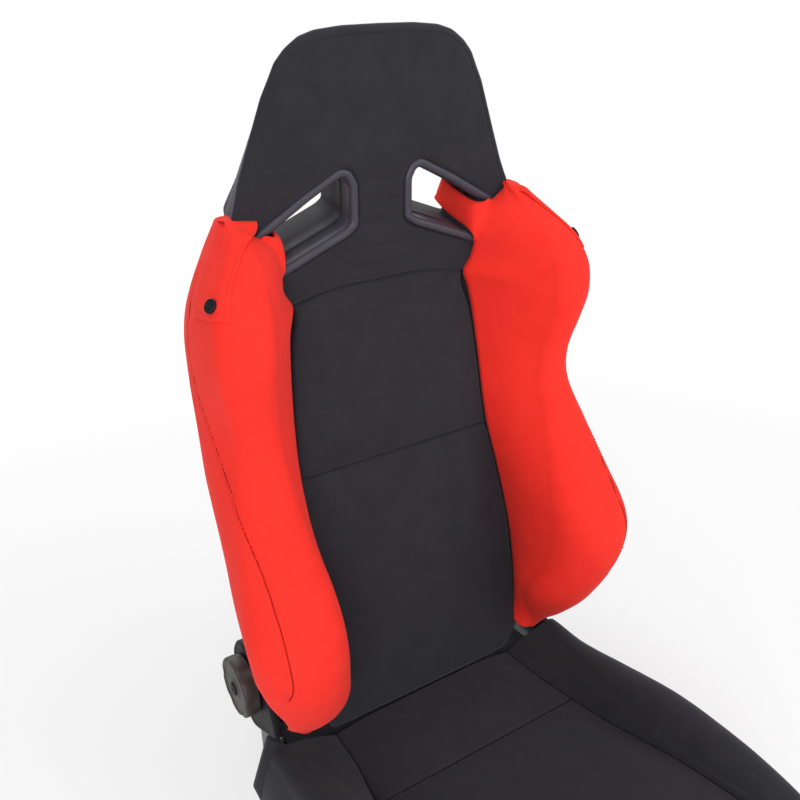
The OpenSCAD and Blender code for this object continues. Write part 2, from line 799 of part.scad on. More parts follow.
module seat_pad(y0, y1, rise, edge, last_v = 1) {
    top = [
        for (v = rows_fine)
            let (y = mix(y0, y1, v))
            [
                for (u = rows_fine)
                    [
                        (2 * u - 1) * (curve(y, pad_x) - pad_gap),
                        y,
                        curve(y, pad_z) - edge + (edge + rise) * crown(u, mix(0, last_v, v))
                    ]
            ]
    ];
    bottom = [for (row = top) [for (p = row) [p[0], p[1], pan_top + clear]]];
    color(black_cloth)
        slab(top, bottom, false);
}
module seat_pad_rear() {
    seat_pad(cushion_seam_y + clear, cushion_rear_y, cushion_crown, 5, 0.7);
}
module seat_pad_front() {
    seat_pad(cushion_front_y, cushion_seam_y - clear, cushion_crown, 5);
}

crest_y = [cushion_front_y, -318, -300, -265, -220, -160, -90, -20, 40, 90, 125,
    cushion_rear_y - 0.5, cushion_rear_y, 164, 176];
module seat_bolster() {
    rings = [
        for (y = crest_y)
            let (
                inner = y < cushion_rear_y ? curve(min(y, cushion_rear_y), pad_x) : rear_plate_face + 3,
                r = min(curve(y, crest_r), curve(y, crest_x) - inner),
                seam_z = y < cushion_rear_y ? curve(y, pad_z) : 176,
                nose = [curve(y, crest_x), r - curve(y, crest_z)],
                rear = [curve(y, low_x), -(pan_top + 24)],
                full = y < cushion_rear_y ? 3 : 0,
                line = bolster_line([inner, -seam_z], nose, r, rear, 12, full, 0, 90, rear, 0),
                last = line[len(line) - 1]
            )
            [for (p = [each line, [inner, last[1]]]) [p[0], y, -p[1]]]
    ];
    color(black_cloth)
        loft(rings);
}

// ---- Dials ----
dial_x = rear_plate_face + housing_d + 0.5;
module dial() {
    lobes = 6;
    color("#4a4545")
        difference() {
            side_extrude(dial_x, dial_t)
                translate([hinge_y, hinge_z])
                    circle(r = dial_r);
            for (i = [0:lobes - 1])
                side_extrude(dial_x + 4, dial_t)
                    translate([hinge_y, hinge_z])
                        rotate(i * 360 / lobes)
                            translate([dial_r + 2 * dial_r - dial_lobe, 0])
                                circle(r = 2 * dial_r);
            side_extrude(dial_x - 1, dial_t - 5)
                translate([hinge_y, hinge_z])
                    circle(r = shaft_r);
        }
}

module drive_shaft() {
    half = dial_x + dial_t - 6;
    color(zinc)
        translate([-half, hinge_y, hinge_z])
            rotate([0, 90, 0])
                cylinder(r = shaft_r, h = 2 * half);
}

module dial_screw() {
    side_extrude(dial_x + dial_t, 1.5)
        translate([hinge_y, hinge_z])
            circle(r = 9);
}

module on_left() {
    mirror([1, 0, 0])
        children();
}
module on_both() {
    children();
    on_left()
        children();
}
module plate_bolts() {
    color(zinc)
        on_both()
            for (p = plate_bolt_pts)
                plate_bolt(p);
}
module strap_snaps() {
    color("#141416")
        on_both()
            strap_snap();
}
module dial_screws() {
    color(grey_plastic)
        on_both()
            dial_screw();
}

on_left() side_frame();  // side_frame_left
side_frame();  // side_frame_right
cross_tube(cross_front_y);  // front_cross_tube
cross_tube(cross_rear_y);  // rear_cross_tube
seat_pan();
seat_pad_rear();
seat_pad_front();
on_left() seat_bolster();  // seat_bolster_left
seat_bolster();  // seat_bolster_right
on_left() recliner_plate();  // recliner_plate_left
recliner_plate();  // recliner_plate_right
on_left() recliner_housing();  // recliner_housing_left
recliner_housing();  // recliner_housing_right
plate_bolts();
on_left() back_plate();  // back_plate_left
back_plate();  // back_plate_right
on_left() back_tube();  // back_tube_left
back_tube();  // back_tube_right
back_top_tube();
back_lower_tube();
back_springs();
back_panel_lower();
back_panel_upper();
neck_pad();
head_pad();
on_left() bolster_core();  // bolster_core_left
bolster_core();  // bolster_core_right
on_left() side_cover();  // side_cover_left
side_cover();  // side_cover_right
on_left() belt_bezel();  // belt_bezel_left
belt_bezel();  // belt_bezel_right
back_shell();
on_left() strap();  // strap_left
strap();  // strap_right
strap_snaps();
drive_shaft();
on_left() dial();  // dial_left
dial();  // dial_right
dial_screws();
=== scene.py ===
"""Dress the reclining sport seat: cloth over foam, red side covers, trim, recliners and steel."""

from __future__ import annotations

import logging
import math
from abc import ABC, abstractmethod
from dataclasses import dataclass, field
from enum import Enum
from functools import cached_property
from typing import Any, Callable, Sequence

import bmesh
import bpy
import numpy as np
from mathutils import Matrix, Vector, noise
from mathutils.bvhtree import BVHTree
from mathutils.geometry import delaunay_2d_cdt

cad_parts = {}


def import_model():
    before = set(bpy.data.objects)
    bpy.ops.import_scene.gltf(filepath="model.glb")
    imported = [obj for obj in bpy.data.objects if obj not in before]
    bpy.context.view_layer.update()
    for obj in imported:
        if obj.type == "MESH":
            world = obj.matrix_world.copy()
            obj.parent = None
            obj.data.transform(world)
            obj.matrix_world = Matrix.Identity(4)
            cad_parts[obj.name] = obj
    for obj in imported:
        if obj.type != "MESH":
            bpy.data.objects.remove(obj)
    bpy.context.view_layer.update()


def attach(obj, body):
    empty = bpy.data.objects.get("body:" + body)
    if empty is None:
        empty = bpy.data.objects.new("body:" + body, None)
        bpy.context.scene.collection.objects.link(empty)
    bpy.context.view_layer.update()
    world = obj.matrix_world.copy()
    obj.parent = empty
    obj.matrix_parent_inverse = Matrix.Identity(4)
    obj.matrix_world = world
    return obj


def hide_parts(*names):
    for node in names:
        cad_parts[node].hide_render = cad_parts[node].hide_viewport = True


LOG = logging.getLogger("sport_seat")
MM = 0.001

BASE = "base"
BACK = "backrest"
DRIVE = "recliner_drive"
LEFT = "left"
RIGHT = "right"
SIDES = (LEFT, RIGHT)
WHITE = (1, 1, 1, 1)

Array = np.ndarray


# ---------------------------------------------------------------- curves and small maths


@dataclass(frozen=True)
class Curve:
    """A smooth line through stations of (place, value)."""

    stations: tuple[tuple[float, float], ...]

    def __call__(self, at: Any) -> Array:
        """Value of the line.

        Args:
            at: One place, or an array of them.

        Returns:
            The value at each place, held level past both ends.
        """
        place, value = np.array(self.stations, float).T
        at = np.clip(np.asarray(at, float), place[0], place[-1])
        index = np.arange(len(place))
        low, high = np.maximum(index - 1, 0), np.minimum(index + 1, len(place) - 1)
        slope = (value[high] - value[low]) / (place[high] - place[low])
        i = np.clip(np.searchsorted(place, at, side="right") - 1, 0, len(place) - 2)
        step = place[i + 1] - place[i]
        u = (at - place[i]) / step
        return (
            (2 * u**3 - 3 * u**2 + 1) * value[i]
            + (u**3 - 2 * u**2 + u) * step * slope[i]
            + (3 * u**2 - 2 * u**3) * value[i + 1]
            + (u**3 - u**2) * step * slope[i + 1]
        )


def ease(x: Any, low: float, high: float) -> Array:
    """Smooth step of x from 0 at low to 1 at high."""
    t = np.clip((np.asarray(x, float) - low) / (high - low), 0, 1)
    return t * t * (3 - 2 * t)


def roll(gap: Any, radius: Any) -> Array:
    """Drop of a rounded border of that radius, at a distance `gap` in from its edge."""
    t = np.clip(np.asarray(gap, float) / radius, 0, 1)
    return radius * (1 - np.sqrt(np.maximum(1 - (1 - t) ** 2, 0)))


def unit(v: Array) -> Array:
    """The same vectors at length 1."""
    return v / np.maximum(np.linalg.norm(v, axis=-1, keepdims=True), 1e-9)


def bell(x: Any, width: float) -> Array:
    """Bell curve: 1 where x is 0, and down to a third at `width` from there."""
    return np.exp(-((x / width) ** 2))


def blur_weights(reach: float) -> Array:
    """Weights of a soft blur whose standard deviation is `reach` steps."""
    half = int(3 * reach) + 1
    weight = np.exp(-0.5 * (np.arange(-half, half + 1) / reach) ** 2)
    return weight / weight.sum()


def soften(rows: Array, reach: float) -> Array:
    """Blur an array along its first axis.

    Args:
        rows: Values, one row for each station.
        reach: Standard deviation of the blur, in rows.

    Returns:
        The blurred rows, with the two ends held.
    """
    weight = blur_weights(reach)
    half = len(weight) // 2
    flat = rows.reshape(len(rows), -1)
    head = 2 * flat[:1] - flat[half:0:-1]
    tail = 2 * flat[-1:] - flat[-2 : -half - 2 : -1]
    full = np.vstack([head, flat, tail])
    out = sum(w * full[i : i + len(flat)] for i, w in enumerate(weight))
    return out.reshape(rows.shape)


def resample(path: Array, places: Array) -> Array:
    """Points of a polyline at the given shares of its length."""
    step = np.linalg.norm(np.diff(path, axis=0), axis=1)
    along = np.concatenate([[0], np.cumsum(step)])
    at = np.clip(places, 0, 1) * along[-1]
    return np.stack([np.interp(at, along, path[:, k]) for k in range(path.shape[1])], 1)


def smooth_path(points: Sequence[Sequence[float]], count: int) -> Array:
    """A smooth curve through points.

    Args:
        points: The points that the curve passes.
        count: How many points the result has.

    Returns:
        Points at even steps along the curve.
    """
    p = np.array(points, float)
    step = np.linalg.norm(np.diff(p, axis=0), axis=1) ** 0.5
    knots = np.concatenate([[0], np.cumsum(step)])
    fine = np.linspace(0, knots[-1], 12 * len(p))
    curve = [Curve(tuple(zip(knots, p[:, k])))(fine) for k in range(p.shape[1])]
    return resample(np.stack(curve, 1), np.linspace(0, 1, count))


def path_gap(points: Array, path: Array, closed: bool = False) -> Array:
    """Distance from points to a polyline in a plane.

    Args:
        points: Points, (n, 2).
        path: The polyline, (m, 2).
        closed: Whether it joins back to its start.

    Returns:
        Each point's distance.
    """
    last = len(path) if closed else len(path) - 1
    best = np.full(len(points), np.inf)
    for p, q in zip(path[:last], np.roll(path, -1, 0)[:last]):
        d = q - p
        t = np.clip(((points - p) @ d) / max(d @ d, 1e-9), 0, 1)
        best = np.minimum(best, np.linalg.norm(points - p - t[:, None] * d, axis=1))
    return best


def inside(points: Array, loop: Array) -> Array:
    """Whether each point of a plane lies inside a closed outline."""
    x, z = points.T
    hit = np.zeros(len(points), bool)
    for (x0, z0), (x1, z1) in zip(loop, np.roll(loop, -1, 0)):
        if z0 == z1:
            continue
        cross = (z0 > z) != (z1 > z)
        hit ^= cross & (x < (x1 - x0) * (z - z0) / (z1 - z0) + x0)
    return hit


def rounded(corners: Sequence[Sequence[float]], step: float, reach: float) -> Array:
    """A closed outline with softened corners.

    Args:
        corners: Its sharp corners, in a plane.
        step: Distance between points of the result.
        reach: How far the softening reaches, in the same unit.

    Returns:
        Points round the outline.
    """
    p = np.array([*corners, corners[0]], float)
    length = np.linalg.norm(np.diff(p, axis=0), axis=1).sum()
    count = int(length / step)
    fine = resample(p, np.linspace(0, 1, count, endpoint=False))
    weight = blur_weights(reach / step)
    half = len(weight) // 2
    return sum(w * np.roll(fine, i - half, 0) for i, w in enumerate(weight))


def outward(loop: Array) -> Array:
    """Unit normals of a closed outline in a plane, pointing out of it."""
    along = unit(np.roll(loop, -1, 0) - np.roll(loop, 1, 0))
    normal = np.stack([along[:, 1], -along[:, 0]], 1)
    x, z = loop.T
    area = (x * np.roll(z, -1) - np.roll(x, -1) * z).sum()
    return normal * math.copysign(1, area)


def ripple(points: Array, size: float, seed: float) -> Array:
    """Soft uneven values of -1 to 1 that change over `size` mm."""
    scaled = points / size + seed
    return np.array([noise.noise(Vector(p)) for p in scaled])


def uneven(points: Array, *waves: tuple[float, float, float]) -> Array:
    """Uneven swell of a soft skin, in mm.

    Args:
        points: Points of the skin, (..., 3).
        waves: Size, seed and height of each ripple.

    Returns:
        The sum of the ripples at each point.
    """
    spots = points.reshape(-1, 3)
    total = sum(ripple(spots, size, seed) * height for size, seed, height in waves)
    return total.reshape(points.shape[:-1])


def pucker(x: Array, gap: Array) -> Array:
    """Small uneven gathers, about 17 mm apart, in cloth at a distance `gap` from its seam."""
    wave = np.sin(x * 2 * math.pi / 17 + 3 * np.sin(x / 37))
    return 0.35 * wave * np.exp(-gap / 9) * ease(gap, 1, 5)


def panel_steps(count: int) -> tuple[Array, Array]:
    """Places of a panel's columns, -1 to 1, and rows, 0 to 1, closer together at its borders."""
    u = np.linspace(-1, 1, count)
    v = 0.5 - 0.5 * np.cos(np.linspace(0, math.pi, count))
    return 0.75 * u + 0.25 * np.sin(u * math.pi / 2), 0.6 * v + 0.4 * np.linspace(0, 1, count)


def turns(count: int) -> Array:
    """Even angles round a circle."""
    return np.linspace(0, 2 * math.pi, count, endpoint=False)


def divide(corners: Array, counts: Sequence[int]) -> Array:
    """Points round a closed outline, with a given number on each side."""
    sides = zip(corners, np.roll(corners, -1, 0), counts)
    return np.vstack([p + (q - p) * (np.arange(n) / n)[:, None] for p, q, n in sides])


def round_off(loop: Array, times: int) -> Array:
    """A closed outline softened by averaging each point with its neighbours."""
    for _ in range(times):
        loop = (np.roll(loop, 1, 0) + 2 * loop + np.roll(loop, -1, 0)) / 4
    return loop


def way_back(line: Array, corner: Array) -> Array:
    """Points that close a section: from the line's end to a corner, and on to its start."""
    t = np.linspace(0, 1, 9)[1:, None]
    out = line[-1] + (corner - line[-1]) * t
    return np.vstack([out, corner + (line[0] - corner) * t[:-1]])


# ---------------------------------------------------------------- finishes


def linear(hex_colour: str) -> tuple[float, float, float, float]:
    """Linear RGBA of an sRGB hex colour such as #2b2b30."""
    channels = [int(hex_colour[i : i + 2], 16) / 255 for i in (1, 3, 5)]
    low = [c / 12.92 if c <= 0.04045 else ((c + 0.055) / 1.055) ** 2.4 for c in channels]
    return (*low, 1.0)


def add_node(
    tree: Any,
    kind: str,
    settings: dict[str | int, Any] | None = None,
    links: dict[str | int, Any] | None = None,
) -> Any:
    """Add one node to a tree.

    Args:
        tree: The node tree.
        kind: The node's Blender type.
        settings: Attribute names, or names or numbers of input sockets, with their values.
        links: Names or numbers of input sockets, with the output sockets that feed them.

    Returns:
        The node.
    """
    node = tree.nodes.new(kind)
    for name, value in (settings or {}).items():
        if isinstance(name, str) and hasattr(node, name):
            setattr(node, name, value)
        else:
            node.inputs[name].default_value = value
    for name, source in (links or {}).items():
        tree.links.new(source, node.inputs[name])
    return node


@dataclass(frozen=True)
class Finish(ABC):
    """A real material: its colour, and the shade that the colour wanders to."""

    name: str
    colour: str
    shade: str
    # Strength of the relief, and its height in mm
    relief: tuple[float, float]

    @abstractmethod
    def shader(self) -> dict[str, Any]:
        """The Principled shader's own settings."""

    @abstractmethod
    def pattern(self, tree: Any, shader: Any) -> tuple[Any, Any]:
        """Add the pattern's nodes.

        Args:
            tree: The material's node tree.
            shader: Its Principled shader.

        Returns:
            The socket that mixes the shade with the colour, and the one that raises the surface.
        """

    def build(self) -> bpy.types.Material:
        """The finish as a Blender material, made once."""
        material = bpy.data.materials.get(self.name)
        if material:
            return material
        material = bpy.data.materials.new(self.name)
        material.use_nodes = True
        tree = material.node_tree
        shader = tree.nodes["Principled BSDF"]
        shader.inputs["Base Color"].default_value = linear(self.colour)
        for name, value in self.shader().items():
            shader.inputs[name].default_value = value
        factor, height = self.pattern(tree, shader)
        # The mix node's sockets for colours are 6 and 7, and its colour comes out of 2
        mixed = add_node(
            tree,
            "ShaderNodeMix",
            {"data_type": "RGBA", 6: linear(self.shade), 7: linear(self.colour)},
            {0: factor},
        )
        strength, depth = self.relief
        raised = add_node(
            tree,
            "ShaderNodeBump",
            {"Strength": strength, "Distance": depth * MM},
            {"Height": height},
        )
        tree.links.new(mixed.outputs[2], shader.inputs["Base Color"])
        tree.links.new(raised.outputs["Normal"], shader.inputs["Normal"])
        return material


@dataclass(frozen=True)
class SuedeCloth(Finish):
    """Brushed polyester knit: matt, with a short nap that pales at a glancing angle."""

    relief: tuple[float, float] = (0.35, 0.35)
    # The real nap is 0.3 mm long, and is drawn five times as coarse so that it shows
    nap_mm: float = 1.6
    # Patches where the nap lies another way
    patch_mm: float = 26.0
    sheen: float = 0.25
    sheen_tint: str = "#9a9aa4"

    def shader(self) -> dict[str, Any]:
        """Matt cloth with a sheen."""
        return {
            "Roughness": 0.92,
            "Specular IOR Level": 0.25,
            "Sheen Weight": self.sheen,
            "Sheen Roughness": 0.45,
            "Sheen Tint": linear(self.sheen_tint),
        }

    def pattern(self, tree: Any, shader: Any) -> tuple[Any, Any]:
        """The nap, and the patches where it lies another way."""
        place = add_node(tree, "ShaderNodeTexCoord").outputs["Object"]
        nap = add_node(
            tree,
            "ShaderNodeTexNoise",
            {"Scale": 1 / (self.nap_mm * MM), "Detail": 3.0, "Roughness": 0.6},
            {"Vector": place},
        ).outputs["Fac"]
        patch = add_node(
            tree,
            "ShaderNodeTexNoise",
            {"Scale": 1 / (self.patch_mm * MM), "Detail": 2.0, "Distortion": 0.6},
            {"Vector": place},
        ).outputs["Fac"]
        part = add_node(tree, "ShaderNodeMath", {"operation": "MULTIPLY", 1: 0.45}, {0: patch})
        blend = add_node(
            tree,
            "ShaderNodeMath",
            {"operation": "MULTIPLY_ADD", 1: 0.55},
            {0: nap, 2: part.outputs[0]},
        )
        spread = add_node(
            tree,
            "ShaderNodeMapRange",
            {"From Min": 0.3, "From Max": 0.7},
            {"Value": blend.outputs[0]},
        )
        return spread.outputs[0], nap


@dataclass(frozen=True)
class MouldedPlastic(Finish):
    """Injection-moulded ABS with a fine eroded grain: soft highlights."""

    relief: tuple[float, float] = (0.12, 0.12)
    # The real grain is 0.4 mm, and is drawn about three times as coarse so that it shows
    grain_mm: float = 1.1
    # Marks from handling
    worn_mm: float = 14.2857
    roughness: float = 0.42
    gloss: float = 0.3

    def shader(self) -> dict[str, Any]:
        """Satin plastic."""
        return {"Roughness": self.roughness, "IOR": 1.5, "Specular IOR Level": self.gloss}

    def pattern(self, tree: Any, shader: Any) -> tuple[Any, Any]:
        """The mould's grain, and slight marks from handling, which also change the shine."""
        place = add_node(tree, "ShaderNodeTexCoord").outputs["Object"]
        grain = add_node(
            tree,
            "ShaderNodeTexVoronoi",
            {"Scale": 1 / (self.grain_mm * MM)},
            {"Vector": place},
        )
        worn = add_node(
            tree,
            "ShaderNodeTexNoise",
            {"Scale": 1 / (self.worn_mm * MM), "Detail": 4.0},
            {"Vector": place},
        ).outputs["Fac"]
        gloss = add_node(
            tree,
            "ShaderNodeMapRange",
            {"To Min": self.roughness - 0.06, "To Max": self.roughness + 0.1},
            {"Value": worn},
        )
        tree.links.new(gloss.outputs[0], shader.inputs["Roughness"])
        return worn, grain.outputs["Distance"]


@dataclass(frozen=True)
class CoatedSteel(Finish):
    """Sheet steel under satin powder coat: an orange-peel skin over the metal."""

    relief: tuple[float, float] = (0.2, 0.15)
    peel_mm: float = 3.0
    # Clouds of dust
    dust_mm: float = 45.4545

    def shader(self) -> dict[str, Any]:
        """A satin coat."""
        return {"Roughness": 0.4, "Coat Weight": 0.25, "Coat Roughness": 0.3}

    def pattern(self, tree: Any, shader: Any) -> tuple[Any, Any]:
        """The coat's skin, and dust on it."""
        place = add_node(tree, "ShaderNodeTexCoord").outputs["Object"]
        peel = add_node(
            tree,
            "ShaderNodeTexNoise",
            {"Scale": 1 / (self.peel_mm * MM), "Detail": 1.0},
            {"Vector": place},
        )
        dust = add_node(
            tree,
            "ShaderNodeTexNoise",
            {"Scale": 1 / (self.dust_mm * MM), "Detail": 5.0},
            {"Vector": place},
        )
        return dust.outputs["Fac"], peel.outputs["Fac"]


@dataclass(frozen=True)
class PlatedSteel(Finish):
    """Plated steel: drawn along its length, a little cloudy."""

    relief: tuple[float, float] = (0.15, 0.08)
    # The real drawing marks are about 0.1 mm apart, and are drawn coarser so that they show
    brush_mm: float = 0.8
    # Clouds in the plating
    cloud_mm: float = 16.6667

    def shader(self) -> dict[str, Any]:
        """Bright metal."""
        return {"Metallic": 1.0, "Roughness": 0.34}

    def pattern(self, tree: Any, shader: Any) -> tuple[Any, Any]:
        """Clouds in the plating, and the drawing marks."""
        place = add_node(tree, "ShaderNodeTexCoord").outputs["Object"]
        squeeze = add_node(
            tree, "ShaderNodeMapping", {"Scale": (0.05, 1.0, 1.0)}, {"Vector": place}
        )
        marks = add_node(
            tree,
            "ShaderNodeTexNoise",
            {"Scale": 1 / (self.brush_mm * MM), "Detail": 2.0},
            {"Vector": squeeze.outputs[0]},
        )
        cloud = add_node(
            tree,
            "ShaderNodeTexNoise",
            {"Scale": 1 / (self.cloud_mm * MM), "Detail": 3.0},
            {"Vector": place},
        )
        return cloud.outputs["Fac"], marks.outputs["Fac"]


@dataclass(frozen=True)
class SewingThread(Finish):
    """Bonded polyester thread: two plies twisted, slightly shiny."""

    relief: tuple[float, float] = (0.3, 0.1)
    # A ply shows every 0.4 mm on the real thread, and is drawn twice as coarse so that it shows
    ply_mm: float = 0.785398

    def shader(self) -> dict[str, Any]:
        """Slightly shiny thread."""
        return {"Roughness": 0.6, "Sheen Weight": 0.2}

    def pattern(self, tree: Any, shader: Any) -> tuple[Any, Any]:
        """The twist of the plies. The wave texture's bands are a tenth of pi apart at scale 1."""
        place = add_node(tree, "ShaderNodeTexCoord").outputs["Object"]
        twist = add_node(
            tree,
            "ShaderNodeTexWave",
            {"Scale": math.pi / 10 / (self.ply_mm * MM), "Distortion": 1.0},
            {"Vector": place},
        ).outputs["Fac"]
        return twist, twist


class Look(Enum):
    """The finishes of the seat."""

    # Brushed polyester suede: deep and matt face on, paler where the nap is seen at a slant
    BLACK_CLOTH = SuedeCloth("black_suede_cloth", "#29292f", "#1f1f25", sheen=0.28)
    # The same knit dyed red: even and matt, with a faint pink bloom where it turns away
    RED_CLOTH = SuedeCloth(
        "red_suede_cloth", "#f63429", "#ea2b20", sheen=0.1, sheen_tint="#ff9088"
    )
    # A coarser brushed knit for the rear: matt, with a grain that shows
    REAR_CLOTH = SuedeCloth("rear_panel_cloth", "#26262b", "#1d1d21", nap_mm=2.4)
    # Moulded ABS, finely grained: a soft highlight that runs round the rim
    BEZEL = MouldedPlastic("bezel_plastic", "#3b3a44", "#31303a", roughness=0.4, gloss=0.34)
    # The same ABS inside the tunnel, off a rougher mould: duller, and painted darker than the rim as shade in
    # the opening, so that the opening looks deep
    TUNNEL_SHADED = MouldedPlastic("shaded_tunnel_plastic", "#302f36", "#27262c", roughness=0.6, gloss=0.2)
    # Black moulded ABS: dark and dull, so that the dial stands out from it
    HOUSING = MouldedPlastic("housing_plastic", "#17171b", "#121215", roughness=0.5, gloss=0.12)
    # Moulded ABS, slightly brown: a satin highlight on each lobe
    KNOB = MouldedPlastic("dial_plastic", "#3d3636", "#312b2b", roughness=0.45)
    # Pressed steel in black powder coat: a broad soft shine
    FRAME = CoatedSteel("coated_frame_steel", "#1e1f22", "#1b1c1e")
    # Zinc-plated wire, bolts and shaft: bright and cloudy
    ZINC = PlatedSteel("zinc_plated_steel", "#b4b6b8", "#8a8c8e")
    # Pressed steel, blackened: dark, with bright edges
    SNAP = PlatedSteel("black_snap_metal", "#2a2a30", "#141418", brush_mm=1.5)
    # Polyester thread dyed a deeper red: fine dashes that catch the light
    RED_THREAD = SewingThread("red_thread", "#c22a1c", "#a82015")
    # Painted shade of the seam: the red cloth drawn darker where it turns down into the groove, and without a
    # sheen
    RED_SEAM_SHADE = SuedeCloth("red_seam_shade", "#a81d15", "#8f160f", nap_mm=1.0, sheen=0.0)


# ---------------------------------------------------------------- meshes


def add_object(name: str, data: Any) -> bpy.types.Object:
    """Put a mesh, a lamp or a camera in the scene, and give its object."""
    item = bpy.data.objects.new(name, data)
    bpy.context.scene.collection.objects.link(item)
    return item


@dataclass
class Shape:
    """A mesh in the making, in millimetres."""

    points: list[Array] = field(default_factory=list)
    faces: list[tuple[int, ...]] = field(default_factory=list)
    count: int = 0

    def add_points(self, points: Array) -> int:
        """Add points, and give the number of the first."""
        start = self.count
        self.points.append(np.asarray(points, float).reshape(-1, 3))
        self.count += len(self.points[-1])
        return start

    def add_grid(self, grid: Array, wrap: bool = False) -> Array:
        """Add a skin of rows and columns.

        Args:
            grid: Points, (rows, columns, 3).
            wrap: Whether the last column joins the first.

        Returns:
            The numbers of its points, (rows, columns).
        """
        rows, cols = grid.shape[:2]
        ids = self.add_points(grid) + np.arange(rows * cols).reshape(rows, cols)
        self.stitch_grid(ids, wrap)
        return ids

    def stitch_grid(self, ids: Array, wrap: bool = False) -> None:
        """Join a table of point numbers with four-sided faces."""
        right = np.roll(ids, -1, 1)
        last = ids.shape[1] if wrap else ids.shape[1] - 1
        for i in range(len(ids) - 1):
            for j in range(last):
                self.faces.append((ids[i, j], right[i, j], right[i + 1, j], ids[i + 1, j]))

    def add_fan(self, ring: Array, centre: Array) -> None:
        """Close a ring of point numbers with a fan round a centre."""
        hub = self.add_points(centre)
        for a, b in zip(ring, np.roll(ring, -1)):
            self.faces.append((hub, a, b))

    def add_slab(self, front: Array, back: Array) -> tuple[Array, Array]:
        """Add a closed body between two grids of the same size, and give both tables."""
        f, b = self.add_grid(front), self.add_grid(back)
        edge = [*zip(f[0], b[0]), *zip(f[1:, -1], b[1:, -1])]
        edge += [*zip(f[-1, -2::-1], b[-1, -2::-1]), *zip(f[-2:0:-1, 0], b[-2:0:-1, 0])]
        for (p, q), (r, s) in zip(edge, edge[1:] + edge[:1]):
            self.faces.append((p, q, s, r))
        return f, b

    def add_cloth(self, outer: Array, faces: Sequence[tuple[int, ...]], thick: float) -> None:
        """Add a sheet with a thickness, closed all round its border.

        Args:
            outer: Points of the outer skin.
            faces: Its faces, which point outwards.
            thick: Thickness, laid on behind the skin.
        """
        inner = outer - vertex_normals(outer, faces) * thick
        f, b = self.add_points(outer), self.add_points(inner)
        self.faces += [tuple(f + i for i in face) for face in faces]
        self.faces += [tuple(b + i for i in face[::-1]) for face in faces]
        self.faces += [(f + c, f + a, b + a, b + c) for a, c in boundary(faces)]

    def add_rings(self, rings: Array, first: Any = None, last: Any = None) -> None:
        """Add a closed body of rings, with a fan over each end.

        Args:
            rings: Points, (rings, corners, 3).
            first: Middle of the first fan, where it isn't the ring's own.
            last: Middle of the last fan, where it isn't the ring's own.
        """
        ids = self.add_grid(rings, wrap=True)
        self.add_fan(ids[0], rings[0].mean(0) if first is None else first)
        self.add_fan(ids[-1], rings[-1].mean(0) if last is None else last)

    def add_tube(self, path: Array, radius: float, sides: int = 8) -> None:
        """Sweep a round section along a path, with closed ends.

        Args:
            path: Points of the middle line.
            radius: Radius of the section.
            sides: Corners of the section.
        """
        along = unit(np.gradient(path, axis=0))
        # A direction that the path never takes
        up = np.array([0.31, 0.22, 0.92])
        wide = unit(np.cross(along, up))[:, None]
        high = np.cross(wide, along[:, None])
        turn = turns(sides)[:, None]
        rings = path[:, None] + radius * (np.cos(turn) * wide + np.sin(turn) * high)
        self.add_rings(rings, path[0], path[-1])

    def build(
        self, name: str, side: str = RIGHT, looks: Sequence[Look] = ()
    ) -> bpy.types.Object:
        """Make the Blender object, with its faces turned outwards.

        Args:
            name: Name of the piece.
            side: RIGHT as modelled, or LEFT for its mirror image.
            looks: Finishes, in the order of the face's material numbers.

        Returns:
            The object, at the origin, in metres.
        """
        points = np.vstack(self.points) * MM
        faces = self.faces
        if side == LEFT:
            points = points * (-1, 1, 1)
            faces = [face[::-1] for face in faces]
        mesh = bpy.data.meshes.new(name)
        mesh.from_pydata(points.tolist(), [], [tuple(int(i) for i in f) for f in faces])
        piece = add_object(name, mesh)
        work = bmesh.new()
        work.from_mesh(mesh)
        bmesh.ops.remove_doubles(work, verts=work.verts, dist=2e-6)
        bmesh.ops.recalc_face_normals(work, faces=work.faces)
        work.to_mesh(mesh)
        work.free()
        mesh.shade_smooth()
        for look in looks:
            mesh.materials.append(look.value.build())
        return piece


def boundary(faces: Sequence[tuple[int, ...]]) -> list[tuple[int, int]]:
    """Edges that only one face has, in that face's direction."""
    seen = {(a, b) for face in faces for a, b in zip(face, face[1:] + face[:1])}
    return [(a, b) for a, b in sorted(seen) if (b, a) not in seen]


def vertex_normals(points: Array, faces: Sequence[tuple[int, ...]]) -> Array:
    """Unit normals at the points of a mesh of four-sided faces."""
    quads = np.array([face if len(face) == 4 else (*face, face[-1]) for face in faces])
    a, b, c, d = points[quads].transpose(1, 0, 2)
    normal = np.cross(c - a, d - b)
    total = np.zeros_like(points)
    for column in quads.T:
        np.add.at(total, column, normal)
    return unit(total)


def grid_faces(ids: Array, flip: bool = False) -> list[tuple[int, ...]]:
    """Faces between the rows and columns of a table of point numbers."""
    a, b, c, d = ids[:-1, :-1], ids[:-1, 1:], ids[1:, 1:], ids[1:, :-1]
    faces = np.stack([a, d, c, b] if flip else [a, b, c, d], 2).reshape(-1, 4)
    return [tuple(int(i) for i in face) for face in faces]


def dress(
    piece: bpy.types.Object,
    body: str,
    replaces: Sequence[str] = (),
) -> bpy.types.Object:
    """Attach a finished piece to its body, and hide the CAD nodes that it stands for.

    Args:
        piece: The finished piece.
        body: The body that it rides on.
        replaces: CAD nodes that it stands for.

    Returns:
        The same piece.
    """
    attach(piece, body)
    if replaces:
        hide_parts(*replaces)
    LOG.info("%s rides on %s with %d faces", piece.name, body, len(piece.data.polygons))
    return piece


def drop_loose(piece: bpy.types.Object) -> None:
    """Delete the points of a piece that no face has."""
    work = bmesh.new()
    work.from_mesh(piece.data)
    spare = [v for v in work.verts if not v.link_faces]
    bmesh.ops.delete(work, geom=spare, context="VERTS")
    work.to_mesh(piece.data)
    work.free()


def sharpen(piece: bpy.types.Object, degrees: float) -> None:
    """Keep edges sharper than an angle crisp in the shading."""
    piece.data.set_sharp_from_angle(angle=math.radians(degrees))


